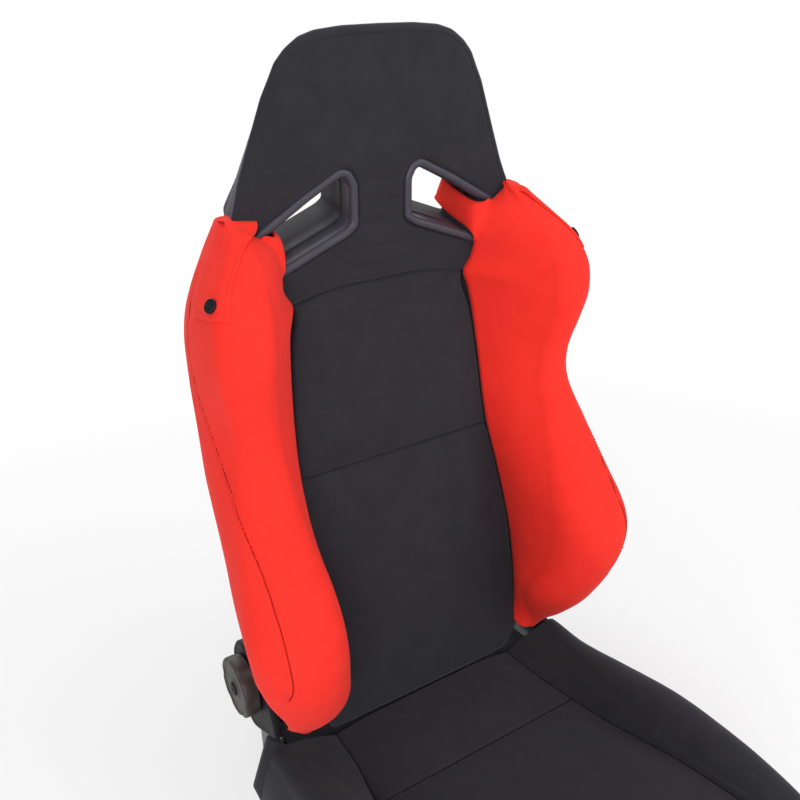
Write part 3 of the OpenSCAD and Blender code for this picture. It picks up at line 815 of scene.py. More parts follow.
# ---------------------------------------------------------------- shared lines of the backrest


@dataclass(frozen=True)
class Ramp:
    """A line of straight runs through stations of (place, value)."""

    stations: tuple[tuple[float, float], ...]

    def __call__(self, at: Any) -> Array:
        """Value at a place, level past both ends."""
        place, value = np.array(self.stations, float).T
        return np.interp(at, place, value)


@dataclass(frozen=True)
class BackLines:
    """Lines that the backrest's pieces share, in mm over heights above the floor."""

    panel_y: Curve = Curve(
        ((152, 179), (158, 164), (166, 151), (185, 152), (248, 166), (340, 184), (513, 220))
        + ((615, 237), (683, 248), (721, 254), (805, 256), (863, 254), (1017, 249))
    )
    panel_x: Curve = Curve(
        ((152, 144), (165, 151), (180, 165), (200, 171), (248, 172), (297, 169), (361, 166))
        + ((424, 158), (462, 152), (513, 143), (560, 139), (615, 135.5), (683, 128.5), (722, 118.5))
        + ((745, 127), (765, 130), (775, 134.5), (785, 139), (795, 143.5), (805, 149))
        + ((812, 157), (825, 172), (842, 180))
    )
    # Edge of the red cloth: as the panel's, then over the outer end of the belt rim
    cloth_x: Curve = Curve(
        ((152, 144), (165, 148), (180, 157), (200, 161), (225, 164), (248, 168), (297, 169), (361, 166))
        + ((424, 158), (462, 152), (513, 143), (560, 139), (615, 135.5), (683, 129), (712, 123), (722, 117.5))
        + ((728, 121), (735, 127.5), (743, 131.5), (757, 132.5), (766, 133), (776, 135.5), (790, 140.5))
        + ((802, 147), (810, 154), (814.5, 166), (818, 175), (822, 181), (827, 184), (842, 184))
    )
    cloth_lift: Curve = Curve(((690, 0), (735, 1), (757, 5), (775, 9), (806, 9.5), (818, 4), (842, 0)))
    nose_x: Curve = Curve(
        ((168, 170), (182, 182), (205, 189), (214, 191), (224, 193), (234, 196), (274, 197))
        + ((300, 200), (336, 209), (367, 213.5), (410, 217), (462, 214.5), (498, 213.5))
        + ((535, 211), (580, 206), (622, 207), (665, 212.5), (704, 216), (734, 215))
        + ((755, 212), (775, 206), (800, 193), (812, 188), (825, 185), (842, 185))
    )
    nose_lead: Curve = Curve(
        ((168, -8), (182, -3), (205, 11), (233, 30), (274, 55), (300, 69), (336, 88), (367, 99))
        + ((388, 104), (410, 105.5), (436, 99), (462, 89), (535, 61), (580, 49), (622, 52))
        + ((665, 65), (704, 79), (734, 80), (755, 73.5), (775, 62.5), (800, 43), (812, 31))
        + ((825, 17), (842, 2))
    )
    nose_r: Curve = Curve(
        ((168, 8), (182, 11), (205, 14), (214, 17), (224, 21), (234, 28), (274, 45), (300, 51))
        + ((336, 54), (367, 56), (410, 56.5), (436, 54.5), (462, 50.5), (498, 44), (535, 38))
        + ((580, 32), (622, 30), (665, 32.5), (704, 34.5), (734, 34.5), (755, 33), (775, 29))
        + ((800, 20), (812, 15), (825, 10), (842, 5))
    )
    rear_x: Curve = Curve(
        ((168, 186), (182, 192), (234, 200), (285, 201), (312, 203), (345, 222), (400, 230))
        + ((500, 242), (604, 243), (690, 241.5), (726, 236), (757, 225), (797, 206), (825, 191))
        + ((842, 188),)
    )
    foam: Curve = Curve(((150, 30), (290, 32), (350, 45), (1000, 45)))
    nose_turn: Ramp = Ramp(
        ((168, 60), (200, 40), (214, 20), (224, 0), (234, -24), (255, -28), (274, -35))
        + ((300, -32), (336, -12), (360, 90), (1000, 90))
    )
    tucked: Ramp = Ramp(((168, 0), (196, 0), (214, 1), (300, 1), (352, 0), (1000, 0)))
    tuck_r: Curve = Curve(
        ((168, 58), (214, 58), (224, 66), (234, 76), (255, 86), (274, 94), (288, 94), (312, 72))
        + ((345, 60), (1000, 60))
    )
    yoke_edge: Curve = Curve(((0, 733), (50, 733), (85, 729), (120, 721), (130, 717)))
    tuck_x: float = 202
    rear_r: float = 14
    hinge: tuple[float, float] = (208, 248)
    mid_seam_z: float = 513

    def section(self, z: float, inset: float, cloth: bool) -> Array:
        """Line of a side bolster at one height, from the panel's seam round to its rear edge.

        Args:
            z: The height.
            inset: Depth below the outer skin.
            cloth: Whether the line starts where the red cloth does.

        Returns:
            Points (x, y, z) with their features in the same columns at every height.
        """
        y = float(self.panel_y(z))
        start_x = float((self.cloth_x if cloth else self.panel_x)(z))
        seam = np.array([start_x, y - (float(self.cloth_lift(z)) if cloth else 0)])
        nose = np.array([float(self.nose_x(z)), y - float(self.nose_lead(z))])
        radius, rear_r = float(self.nose_r(z)), self.rear_r
        rear = np.array([float(self.rear_x(z)), y + float(self.foam(z))]) - rear_r
        tucked = float(self.tucked(z))
        a0 = tangent(seam, 0, nose, radius)
        side = tangent(nose, radius, rear, rear_r)
        a1 = min(side, math.radians(float(self.nose_turn(z)))) - tucked * inset / radius
        front = arc(nose, radius - inset, a0, a1, 40)
        back = arc(rear, rear_r - inset, side * (1 - tucked), math.pi / 2, 10)
        start = seam - inset * np.array([math.cos(a0), math.sin(a0)])
        gap = max(float(self.tuck_r(z)) ** 2 - (z - self.hinge[1]) ** 2, 0)
        bend = np.array([self.tuck_x, self.hinge[0] - math.sqrt(gap)]) - inset
        straight = flank(front[-1], back[0], 4, 26)
        bent = resample(np.array([front[-1], bend, back[0]]), np.linspace(0, 1, 28))[1:-1]
        line = np.vstack(
            [start[None], flank(start, front[0], 4, 16), front]
            + [straight * (1 - tucked) + bent * tucked, back]
        )
        return np.column_stack([line, np.full(len(line), z)])

    def sheet(self, heights: Array, inset: float, cloth: bool = False) -> Array:
        """The sections at several heights, as a smooth grid."""
        return soften(np.array([self.section(z, inset, cloth) for z in heights]), 1.6)


def tangent(a: Array, ra: float, b: Array, rb: float) -> float:
    """Angle of the common outer tangent's normal of two circles."""
    d = b - a
    return math.atan2(d[1], d[0]) - math.acos(max(-1, min(1, (ra - rb) / np.linalg.norm(d))))


def arc(centre: Array, radius: float, a0: float, a1: float, count: int) -> Array:
    """Points of an arc from one angle to another."""
    a = np.linspace(a0, a1, count + 1)
    return centre + radius * np.stack([np.cos(a), np.sin(a)], 1)


def flank(p: Array, q: Array, bulge: float, count: int) -> Array:
    """Inner points of a line between two points that swells out by `bulge`."""
    t = (np.arange(1, count + 1) / (count + 1))[:, None]
    d = unit(q - p)
    return p + (q - p) * t + bulge * np.sin(math.pi * t) * np.array([d[1], -d[0]])


def skin_normals(grid: Array, away_from: Array) -> Array:
    """Unit normals of a grid, on the side away from a point or a grid of points."""
    normal = unit(np.cross(np.gradient(grid, axis=0), np.gradient(grid, axis=1)))
    flip = np.sign((normal * (grid - away_from)).sum(-1).mean())
    return normal * flip


BACK_LINES = BackLines()


# ---------------------------------------------------------------- sewn thread


@dataclass
class Thread:
    """Rows of stitches on one body, in one colour."""

    name: str
    body: str
    look: Look
    pitch: float = 4.2
    length: float = 3.0
    width: float = 0.75
    paths: list[Array] = field(default_factory=list)

    def sew(self, path: Array) -> None:
        """Add a row of stitches along a path on the right side, and its mirror image."""
        self.paths += [path * (-1, 1, 1), path]

    def tree(self) -> Any:
        """Node tree that lays small pills along curves."""
        tree = bpy.data.node_groups.new(self.name + "_rows", "GeometryNodeTree")
        face = tree.interface
        face.new_socket("Geometry", in_out="INPUT", socket_type="NodeSocketGeometry")
        for label in ("Pitch", "Stitch Length", "Stitch Width"):
            face.new_socket(label, in_out="INPUT", socket_type="NodeSocketFloat")
        face.new_socket("Geometry", in_out="OUTPUT", socket_type="NodeSocketGeometry")
        given = add_node(tree, "NodeGroupInput").outputs
        rows = add_node(tree, "GeometryNodeMeshToCurve", links={"Mesh": given["Geometry"]})
        spaced = add_node(
            tree,
            "GeometryNodeResampleCurve",
            {"mode": "LENGTH"},
            {"Curve": rows.outputs[0], "Length": given["Pitch"]},
        )
        tangent_node = add_node(tree, "GeometryNodeInputTangent")
        turn = add_node(
            tree,
            "FunctionNodeAlignEulerToVector",
            {"axis": "X"},
            {"Vector": tangent_node.outputs[0]},
        )
        size = add_node(
            tree,
            "ShaderNodeCombineXYZ",
            links={"X": given["Stitch Length"], "Y": given["Stitch Width"], "Z": given["Stitch Width"]},
        )
        pill = add_node(
            tree, "GeometryNodeMeshUVSphere", {"Segments": 6, "Rings": 4, "Radius": 0.5}
        )
        laid = add_node(
            tree,
            "GeometryNodeInstanceOnPoints",
            links={
                "Points": spaced.outputs[0],
                "Instance": pill.outputs[0],
                "Rotation": turn.outputs[0],
                "Scale": size.outputs[0],
            },
        )
        real = add_node(tree, "GeometryNodeRealizeInstances", links={"Geometry": laid.outputs[0]})
        coloured = add_node(
            tree,
            "GeometryNodeSetMaterial",
            {"Material": self.look.value.build()},
            {"Geometry": real.outputs[0]},
        )
        add_node(tree, "NodeGroupOutput", links={"Geometry": coloured.outputs[0]})
        return tree

    def build(self, slot: str) -> bpy.types.Object:
        """Make the stitches as one plain mesh."""
        points = np.vstack(self.paths) * MM
        edges, start = [], 0
        for path in self.paths:
            edges += [(start + i, start + i + 1) for i in range(len(path) - 1)]
            start += len(path)
        mesh = bpy.data.meshes.new(self.name)
        mesh.from_pydata(points.tolist(), edges, [])
        piece = add_object(self.name, mesh)
        modifier = piece.modifiers.new("rows", "NODES")
        modifier.node_group = self.tree()
        sizes = {"Pitch": self.pitch, "Stitch Length": self.length, "Stitch Width": self.width}
        for item in modifier.node_group.interface.items_tree:
            if item.name in sizes and item.in_out == "INPUT":
                modifier[item.identifier] = sizes[item.name] * MM
        graph = bpy.context.evaluated_depsgraph_get()
        made = bpy.data.meshes.new_from_object(piece.evaluated_get(graph))
        piece.modifiers.clear()
        piece.data = made
        made.name = self.name
        made.shade_smooth()
        return dress(piece, self.body)


# ---------------------------------------------------------------- red side covers


def near_even(low: float, high: float, step: float) -> Array:
    """Places from low to high at about even steps."""
    return np.linspace(low, high, max(2, int(round((high - low) / step)) + 1))


@dataclass
class SideBolster:
    """Foam bolster of the backrest's side, and the red cloth cover on it."""

    side: str
    low: float = 190
    high: float = 824
    cloth: float = 2.5
    # The cover's outer seam: column of the skin over height
    seam_column: Curve = Curve(
        ((285, 54.5), (306, 52.4), (334, 47), (370, 42.5), (413, 41.5), (457, 42.5), (500, 45))
        + ((535, 51.5), (572, 62.5), (620, 72), (664, 75.5), (721, 76), (779, 77.5))
    )
    # Column whose height stands for its whole row
    middle: int = 60
    # Heights between which the seam's line runs, and its groove a little further
    seam_low: float = 356
    seam_high: float = 780
    groove_high: float = 790
    # Depth and width of the groove, and height, distance and width of the swell beside it
    groove: tuple[float, float] = (2.4, 1.9)
    swell: tuple[float, float, float] = (0.6, 4.2, 2.4)
    # Radius of the dark red tube laid in the groove as painted shade of the seam
    seam_shade_radius: float = 0.8
    stitch_gap: float = 7.5
    # Heights between which the cover's edge runs on into the belt opening, as a flap
    flap_low: float = 759
    flap_high: float = 813
    flap_columns: int = 56
    # Place of the lower lobe's tip, -1 beside the seat and 1 outside, and its reach upwards
    lobe_tip: float = -0.12
    lobe_reach: float = 160
    # Rise of the lobe's corner beside the seat and of the outer one, and the power that rounds it
    lobe_inner: tuple[float, float] = (14, 4.5)
    lobe_outer: tuple[float, float] = (72, 2.5)

    def outside(self) -> Array:
        """Outer skin of the cover, one row for each height."""
        heights = near_even(self.low, self.high, 3.6)
        grid = self.lobe(BACK_LINES.sheet(heights, 0, cloth=True))
        normal = self.normals(grid)
        column = np.arange(grid.shape[1])
        fade = ease(column, 0, 6) * ease(grid.shape[1] - 1 - column, 0, 6)
        bend = uneven(grid, (75, 3.1, 0.9), (24, 8.4, 0.22)) * fade[None]
        grid = grid + normal * bend[..., None]
        gap = self.seam_gap(grid)
        depth, width = self.groove
        height, place, spread = self.swell
        rise = height * bell(gap - place, spread) - depth * bell(gap, width)
        return grid + normal * rise[..., None]

    def lobe(self, grid: Array) -> Array:
        """Round the cover's lower end into a lobe."""
        columns = grid.shape[1]
        share = np.linspace(-1, 1, columns) - self.lobe_tip
        inner = self.lobe_inner[0] * np.abs(share / (1 + self.lobe_tip)) ** self.lobe_inner[1]
        outer = self.lobe_outer[0] * np.abs(share / (1 - self.lobe_tip)) ** self.lobe_outer[1]
        lift = 2.5 + np.where(share < 0, inner, outer)
        z = grid[:, :1, 2]
        pull = np.clip(1 - (z - self.low) / self.lobe_reach, 0, 1) ** 1.6
        wanted = z + lift[None] * pull
        out = grid.copy()
        for j in range(columns):
            for k in range(3):
                out[:, j, k] = np.interp(wanted[:, j], grid[:, j, 2], grid[:, j, k])
        return out

    def normals(self, grid: Array) -> Array:
        """Outward normals of the cover's skin."""
        middle = grid.mean(1, keepdims=True)
        return skin_normals(grid, middle * (0.75, 1, 1) + (0, 25, 0))

    @staticmethod
    def spacing(grid: Array) -> Array:
        """Distance from each column of the skin to the next."""
        return np.linalg.norm(np.gradient(grid, axis=1), axis=2)

    def seam_gap(self, grid: Array) -> Array:
        """Distance along the skin from the outer seam."""
        z = grid[:, self.middle, 2]
        column = np.arange(grid.shape[1])[None] - self.seam_column(z)[:, None]
        span = (z > self.seam_low) & (z < self.groove_high)
        return np.where(span[:, None], np.abs(column) * self.spacing(grid), 99)

    def on_skin(self, grid: Array, row: Array, column: Array, rise: float) -> Array:
        """Points on the cover at fractional rows and columns, lifted off it."""
        lifted = grid + self.normals(grid) * rise
        i = np.clip(row.astype(int), 0, len(grid) - 2)
        j = np.clip(column.astype(int), 0, grid.shape[1] - 2)
        u, v = (row - i)[:, None], (column - j)[:, None]
        near = lifted[i, j] * (1 - v) + lifted[i, j + 1] * v
        far = lifted[i + 1, j] * (1 - v) + lifted[i + 1, j + 1] * v
        return near * (1 - u) + far * u

    def seam_path(self, grid: Array, offset: float) -> Array:
        """Line beside the outer seam, at a signed distance from it."""
        z = grid[:, self.middle, 2]
        rows = np.flatnonzero((z > self.seam_low) & (z < self.seam_high))
        column = self.seam_column(z[rows])
        column = column + offset / self.spacing(grid)[rows, column.astype(int)]
        return self.on_skin(grid, rows.astype(float), column, 0.35)

    def flap(self, edge: Array) -> Array:
        """Cloth that runs from the cover's edge into the belt opening and round behind it.

        Args:
            edge: The cover's edge beside the opening, from low to high.

        Returns:
            Points, (rows, columns), of which the first column is that edge.
        """
        low = [edge[0], (132, 247.5, 764), (130, 247.5, 768), (128, 250, 772), (127, 256, 775.5)]
        low += [(126.5, 266, 778.5), (126, 282, 782), (125.5, 300, 787), (124.5, 316, 794)]
        low += [(124.5, 326, 799), (128, 331, 800.5), (134, 333, 801)]
        high = [edge[-1], (150, 245.5, 812), (144, 247, 810), (138.5, 250, 809), (135, 257, 809.5)]
        high += [(133.5, 267, 811.5), (132.5, 282, 815), (132.5, 300, 819.5), (133.5, 316, 823.5)]
        high += [(136, 326, 825.5), (140, 331, 827), (145, 333, 828)]
        lower, upper = (smooth_path(side, self.flap_columns) for side in (low, high))
        s = np.linspace(0, 1, len(edge))[:, None, None]
        u = np.linspace(0, 1, self.flap_columns)[None, :, None]
        end = lower[-1] + (upper[-1] - lower[-1]) * s
        corners = (1 - s) * ((1 - u) * edge[0] + u * lower[-1])
        corners = corners + s * ((1 - u) * edge[-1] + u * upper[-1])
        between = (1 - u) * edge[:, None] + u * end + (1 - s) * lower[None] + s * upper[None]
        return between - corners

    def skin(self) -> tuple[Array, list[tuple[int, ...]], Array, Array]:
        """Outer skin of the whole cover.

        Returns:
            Its points and faces, and the two grids that it is made of.
        """
        grid = self.outside()
        z = grid[:, 0, 2]
        rows = np.flatnonzero((z > self.flap_low) & (z < self.flap_high))
        patch = self.flap(grid[rows, 0])
        # The fold between cover and flap is softened over so many columns of the cover
        reach = 18
        strip = np.concatenate([grid[rows, reach - 1 :: -1], patch[:, 1:]], 1)
        smooth = soften(strip.transpose(1, 0, 2), 3.0).transpose(1, 0, 2)
        weight = np.minimum(np.arange(len(rows)), np.arange(len(rows))[::-1]) / 4
        weight = np.clip(weight, 0, 1)[:, None, None]
        strip = strip + (smooth - strip) * weight
        grid[rows, :reach] = strip[:, reach - 1 :: -1]
        patch[:, 1:] = strip[:, reach:]
        patch[:, 0] = grid[rows, 0]
        ids = np.arange(grid.shape[0] * grid.shape[1]).reshape(grid.shape[:2])
        more = ids.size + np.arange(patch[:, 1:, 0].size).reshape(len(rows), -1)
        tongue = np.column_stack([ids[rows, 0], more])
        top, top_ids = self.dome(grid, ids.size + more.size)
        points = np.vstack([grid.reshape(-1, 3), patch[:, 1:].reshape(-1, 3), top.reshape(-1, 3)])
        faces = grid_faces(ids) + grid_faces(tongue, flip=True)
        faces += grid_faces(np.vstack([ids[-1], top_ids]))
        return points, faces, grid, patch

    def dome(self, grid: Array, start: int) -> tuple[Array, Array]:
        """Rows that close the cover over the foam's top end.

        Args:
            grid: The cover's rows.
            start: Number of the first new point.

        Returns:
            The new rows, and their point numbers.
        """
        ring = grid[-1]
        hub = (ring[0] + ring[-1]) / 2 + (1, 0, 0)
        steps = ((0.95, 1.2), (0.86, 2.2), (0.72, 3.0), (0.52, 3.4), (0.28, 3.6), (0.08, 3.6))
        rows = np.array([hub + (ring - hub) * share + (0, 0, rise) for share, rise in steps])
        return rows, start + np.arange(rows[..., 0].size).reshape(rows.shape[:2])

    def build_cover(self, thread: Thread) -> bpy.types.Object:
        """The red cover: a sheet with a thickness, with the flap at the belt opening, its stitches and the
        painted shade in its seam.
        """
        points, faces, grid, patch = self.skin()
        shape = Shape()
        shape.add_cloth(points, faces, self.cloth)
        cover = shape.build(f"side_cover_cloth_{self.side}", self.side, looks=[Look.RED_CLOTH])
        dress(cover, BACK, [f"side_cover_{self.side}"])
        if self.side == RIGHT:
            thread.sew(self.seam_path(grid, self.stitch_gap))
        self.build_seam_shade(grid)
        return cover

    def build_seam_shade(self, grid: Array) -> None:
        """Painted shade in the seam: a dark red tube at the bottom of the groove, where the front and side
        cloths meet.
        """
        line = Shape()
        line.add_tube(self.seam_path(grid, 0), self.seam_shade_radius)
        seam = line.build(f"cover_seam_{self.side}", self.side, looks=[Look.RED_SEAM_SHADE])
        dress(seam, BACK)

    @staticmethod
    def area(grid: Array) -> float:
        """Area of a grid's skin."""
        a = grid[1:, 1:] - grid[:-1, :-1]
        b = grid[1:, :-1] - grid[:-1, 1:]
        return float(np.linalg.norm(np.cross(a, b), axis=2).sum() / 2)

    def build_foam(self) -> bpy.types.Object:
        """The foam under the cover, closed behind."""
        heights = near_even(self.low + 6, self.high - 1.5, 8)
        grid = self.lobe(BACK_LINES.sheet(heights, self.cloth + 0.8, cloth=True))
        rings = []
        for ring in grid:
            x = min(ring[0, 0] + 0.4, ring[-1, 0] - 1)
            rings.append(np.vstack([ring, way_back(ring, np.array([x, *ring[-1, 1:]]))]))
        shape = Shape()
        shape.add_rings(np.array(rings))
        foam = shape.build(f"bolster_foam_{self.side}", self.side, looks=[Look.BLACK_CLOTH])
        return dress(foam, BACK, [f"bolster_core_{self.side}"])


# ---------------------------------------------------------------- middle of the backrest


def corner_gap(*gaps: Array) -> Array:
    """Distance in from the nearest of several borders, rounded where two meet."""
    total = sum(np.maximum(g, 0.01) ** -3.0 for g in gaps)
    return total ** (-1 / 3)


@dataclass
class BackPanel:
    """One foam panel between the side covers, with its cloth rolled in at the seams."""

    name: str
    node: str
    low: Callable[[Array], Array]
    high: Callable[[Array], Array]
    crown: float = 7.0
    edge: float = 6.5
    open_below: bool = False
    rows: int = 110

    def front(self) -> Array:
        """Front skin."""
        u, v = panel_steps(self.rows)
        bottom, top = float(self.low(np.array(0.0))), float(self.high(np.array(0.0)))
        half = BACK_LINES.panel_x(bottom + (top - bottom) * v) - 0.9
        x = u[None] * half[:, None]
        low, high = self.low(np.abs(x)), self.high(np.abs(x))
        z = low + (high - low) * v[:, None]
        gap_x = half[:, None] - np.abs(x)
        gap_low = (z - low) * (0.5 if self.open_below else 1)
        gap = corner_gap(gap_x, gap_low + 0.02, high - z + 0.02)
        swell = self.crown * ease(gap, 0, 55) ** 0.8
        y = BACK_LINES.panel_y(z) - swell + roll(gap, self.edge) - 0.8
        y -= 0.35 * roll(gap_x, self.edge) * ease(corner_gap(gap_low, high - z), 2, 12)
        y += uneven(np.stack([x, y, z], 2), (85, 1.7, 0.9), (26, 5.2, 0.2)) * ease(gap, 1, 14)
        y += pucker(x, gap)
        return np.stack([x, y, z], 2)

    def build(self) -> bpy.types.Object:
        """The closed panel."""
        front = self.front()
        back = front.copy()
        back[..., 1] = BACK_LINES.panel_y(front[..., 2]) + BACK_LINES.foam(front[..., 2])
        shape = Shape()
        shape.add_slab(front, back)
        piece = shape.build(self.name, looks=[Look.BLACK_CLOTH])
        return dress(piece, BACK, [self.node])


def tunnel_rise(x: Array, z: Array, y: Array) -> Array:
    """How far the belt tunnels have climbed at a depth, more along their upper walls."""
    low = 795 - 0.43 * (np.abs(x) - 50)
    high = 872 - 0.56 * (np.abs(x) - 54)
    share = np.clip((z - low) / (high - low), 0, 1)
    return np.clip(np.asarray(y) - 262, 0, None) * (0.245 - 0.02 * share)


@dataclass
class BeltOpening:
    """Moulded rim and tunnel that the shoulder belt passes through."""

    side: str
    upper: tuple[tuple[float, float], ...] = ((31, 852), (40, 868), (54, 872.5), (100, 848.5))
    outer_end: tuple[tuple[float, float], ...] = ((165, 810), (140, 755))
    lower: tuple[tuple[float, float], ...] = ((44, 793), (31, 803))
    # Outer end of the opening in the cloth, which ends short of the cover
    cloth_end: tuple[tuple[float, float], ...] = ((150, 817), (126, 761))
    cloth_inset: float = 2
    front: float = 250.6
    back: float = 325

    def loop(self, inset: float, end: Sequence[tuple[float, float]]) -> Array:
        """Outline of the opening.

        Args:
            inset: Its distance inside the rim's outer edge.
            end: Corners of its outer end.

        Returns:
            Points (x, z), the same number at every inset.
        """
        corners = np.array([*self.upper, *end, *self.lower], float)
        sides = np.linalg.norm(np.roll(corners, -1, 0) - corners, axis=1)
        counts = np.maximum(4, (sides / 1.6).astype(int))
        return round_off(divide(inset_corners(corners, inset), counts), 9)

    def hole(self) -> Array:
        """Outline of the opening in the cloth, on the right side."""
        return self.loop(self.cloth_inset, self.cloth_end)

    def ring(self, inset: float, y: float) -> Array:
        """The outline at a depth, as points in space."""
        x, z = self.loop(inset, self.outer_end).T
        return np.column_stack([x, np.full(len(x), y), z + tunnel_rise(x, z, y)])

    def build(self) -> bpy.types.Object:
        """Rim, tunnel and the step inside it, as one closed ring."""
        f = self.front
        profile = [(0.3, f + 9), (0.2, f + 5), (0.5, f + 3), (1.4, f + 1.3), (2.9, f + 0.3)]
        profile += [(4.6, f - 0.1), (6.6, f + 0.1), (8.4, f + 0.9), (9.8, f + 2.2), (10.7, f + 4.2)]
        profile += [(11, f + 7), (11, f + 22), (12.2, f + 23.5), (12.4, f + 26), (11.2, f + 27.5)]
        profile += [(11, f + 40), (11, self.back - 1), (10.4, self.back), (8.8, self.back)]
        profile += [(8.2, self.back - 1), (8.2, f + 12), (7, f + 10), (2, f + 10)]
        rings = np.array([self.ring(inset, y) for inset, y in profile])
        shape = Shape()
        ids = shape.add_grid(rings, wrap=True)
        shape.stitch_grid(np.array([ids[-1], ids[0]]), wrap=True)
        piece = shape.build(f"belt_rim_{self.side}", self.side, looks=[Look.BEZEL, Look.TUNNEL_SHADED])
        # Faces deeper than the rim's step take the tunnel's painted shade
        for face in piece.data.polygons:
            face.material_index = int(face.center.y > (f + 22.5) * MM)
        return dress(piece, BACK, [f"belt_bezel_{self.side}"])


def inset_corners(corners: Sequence[Sequence[float]], inset: float) -> Array:
    """Corners of a clockwise outline moved in by a distance."""
    p = np.array(corners, float)
    along = unit(np.roll(p, -1, 0) - p)
    normal = np.stack([along[:, 1], -along[:, 0]], 1)
    reach = (normal * p).sum(1) + inset
    pairs = [[i - 1, i] for i in range(len(p))]
    return np.array([np.linalg.solve(normal[pair], reach[pair]) for pair in pairs])


@dataclass
class HeadRest:
    """Neck and head in one piece of black cloth, with the two belt openings through it."""

    depth: float = 66
    # How far the rear edge stands in from the front one, over height
    pinch: Curve = Curve(((800, 14), (835, 16), (870, 24.5), (920, 30), (1017, 32)))
    drop: float = 22
    edge: float = 3.6
    outline: tuple[tuple[float, float], ...] = (
        ((0, 733.4), (50, 733.4), (85, 729.6), (106, 725.6), (118, 722.2), (125, 726.5), (131, 733))
        + ((135, 743), (136, 757), (137, 768), (141, 779), (147, 790), (153, 800), (163, 808))
        + ((175, 814), (183, 821), (185, 830), (177, 851), (170.5, 871), (163, 891), (155.5, 911))
        + ((148, 931), (140.5, 951), (131.5, 968), (123.5, 984), (111.5, 997), (95.5, 1008))
        + ((77, 1013.5), (45, 1016.5), (0, 1017))
    )
    # Spacing of the mesh's points, and the distances of its extra rows from the border and holes
    step: float = 3.6
    border_rows: tuple[float, ...] = (0.4, 1.1, 2.1, 3.3, 4.6, 6.2, 7.8, 8.8, 9.6, 10.4, 11.4)
    hole_rows: tuple[float, ...] = (1.2, 2.4, 4, 6)

    def border(self) -> Array:
        """The whole outline, both sides, in even small steps."""
        right = np.array(self.outline, float)
        left = right[::-1] * (-1, 1)
        return rounded([*right, *left[1:-1]], 2.6, 2.2)

    def surface_y(self, points: Array, gap: Array, hole_gap: Array) -> Array:
        """Depth of the front skin.

        Args:
            points: Points (x, z).
            gap: Their distance in from the outline.
            hole_gap: Their distance from the nearest belt opening's edge.

        Returns:
            The depth at each point.
        """
        x, z = points.T
        high = ease(z, 800, 900)
        swell = 3.0 * ease(gap, 0, 70) * high + 2.0 * (1 - high) * ease(z - 733, 0, 40)
        y = BACK_LINES.panel_y(z) - swell
        y += roll(gap, self.edge) * (0.4 + 0.6 * ease(z, 826, 840))
        y += (roll(gap, 9) - roll(gap, self.edge)) * ease(z, 830, 870)
        y += 5.0 * bell(hole_gap, 3.4) + 1.2 * bell(gap - 9.6, 1.3) * high
        seam = BACK_LINES.yoke_edge(np.abs(x))
        y += roll(z - seam, 8) * ease(-np.abs(x), -122, -112)
        y += self.quilting(points)
        swell = uneven(np.column_stack([x, y, z]), (80, 2.2, 1.1), (27, 7.9, 0.25))
        return y + swell * ease(gap, 1, 14)

    @staticmethod
    def quilting(points: Array) -> Array:
        """Sewn channels of the neck: a U-shaped seam and three rows between the openings."""
        trough = np.array(
            [(-65, 776), (-60, 768), (-54, 762), (-42, 756), (-15, 752), (15, 752), (34, 755)]
            + [(44, 768), (50, 776), (60, 779)]
        )
        dip = 3.0 * bell(path_gap(points, trough), 2.6)
        for z, half in ((776, 50), (804, 24), (829, 22), (853, 24)):
            gap = path_gap(points, np.array([(-half, z), (half, z)]))
            dip = np.maximum(dip, 2.4 * bell(gap, 3.0))
        return dip

    def sheet(self, border: Array, holes: Sequence[Array]) -> tuple[Array, list[tuple[int, ...]]]:
        """Flat mesh of the front, cut out round the belt openings.

        Args:
            border: The outline.
            holes: Outlines of the openings.

        Returns:
            Its points (x, z), and its faces.
        """
        xs, zs = np.meshgrid(np.arange(-190, 191, self.step), np.arange(718, 1018, self.step))
        xs = xs + (np.arange(len(xs)) % 2)[:, None] * self.step / 2
        even = np.column_stack([xs.ravel(), zs.ravel()])
        # Even points lie only where the extra rows don't
        keep = inside(even, border) & (path_gap(even, border, closed=True) > 13)
        rows = [border - outward(border) * depth for depth in self.border_rows]
        for hole in holes:
            keep &= ~inside(even, hole) & (path_gap(even, hole, closed=True) > 7.5)
            rows += [hole + outward(hole) * depth for depth in self.hole_rows]
        rows = np.vstack(rows)
        loops = [border, *holes]
        points = np.vstack([*loops, rows[inside(rows, border)], even[keep]])
        edges, start = [], 0
        for loop in loops:
            n = len(loop)
            edges += [(start + i, start + (i + 1) % n) for i in range(n)]
            start += n
        flat = delaunay_2d_cdt([Vector(p) for p in points], edges, [], 0, 1e-5)
        corners = np.array([tuple(p) for p in flat[0]])
        middles = np.array([corners[list(face)].mean(0) for face in flat[2]])
        good = inside(middles, border)
        for hole in holes:
            good &= ~inside(middles, hole)
        return corners, [tuple(face) for face, ok in zip(flat[2], good) if ok]

    def build(self, holes: Sequence[Array]) -> bpy.types.Object:
        """The closed piece, with its tunnels.

        Args:
            holes: Outlines (x, z) of the belt openings in the cloth.

        Returns:
            The finished piece.
        """
        border = self.border()
        corners, faces = self.sheet(border, holes)
        gap = path_gap(corners, border, closed=True)
        hole_gap = np.min([path_gap(corners, hole, closed=True) for hole in holes], axis=0)
        y = self.surface_y(corners, gap, hole_gap)
        shape = Shape()
        front = shape.add_points(np.column_stack([corners[:, 0], y, corners[:, 1]]))
        levels = [self.behind(corners, y, share, gap, hole_gap) for share in (0.08, 0.5, 0.92, 1)]
        first = [shape.add_points(level) for level in levels]
        shape.faces += [tuple(front + i for i in face) for face in faces]
        shape.faces += [tuple(first[-1] + i for i in face[::-1]) for face in faces]
        chain = [front, *first]
        for a, b in boundary(faces):
            for p, q in zip(chain, chain[1:]):
                shape.faces.append((p + a, p + b, q + b, q + a))
        piece = shape.build("head_and_neck_cloth", looks=[Look.BLACK_CLOTH])
        drop_loose(piece)
        return dress(piece, BACK, ["head_pad", "neck_pad"])

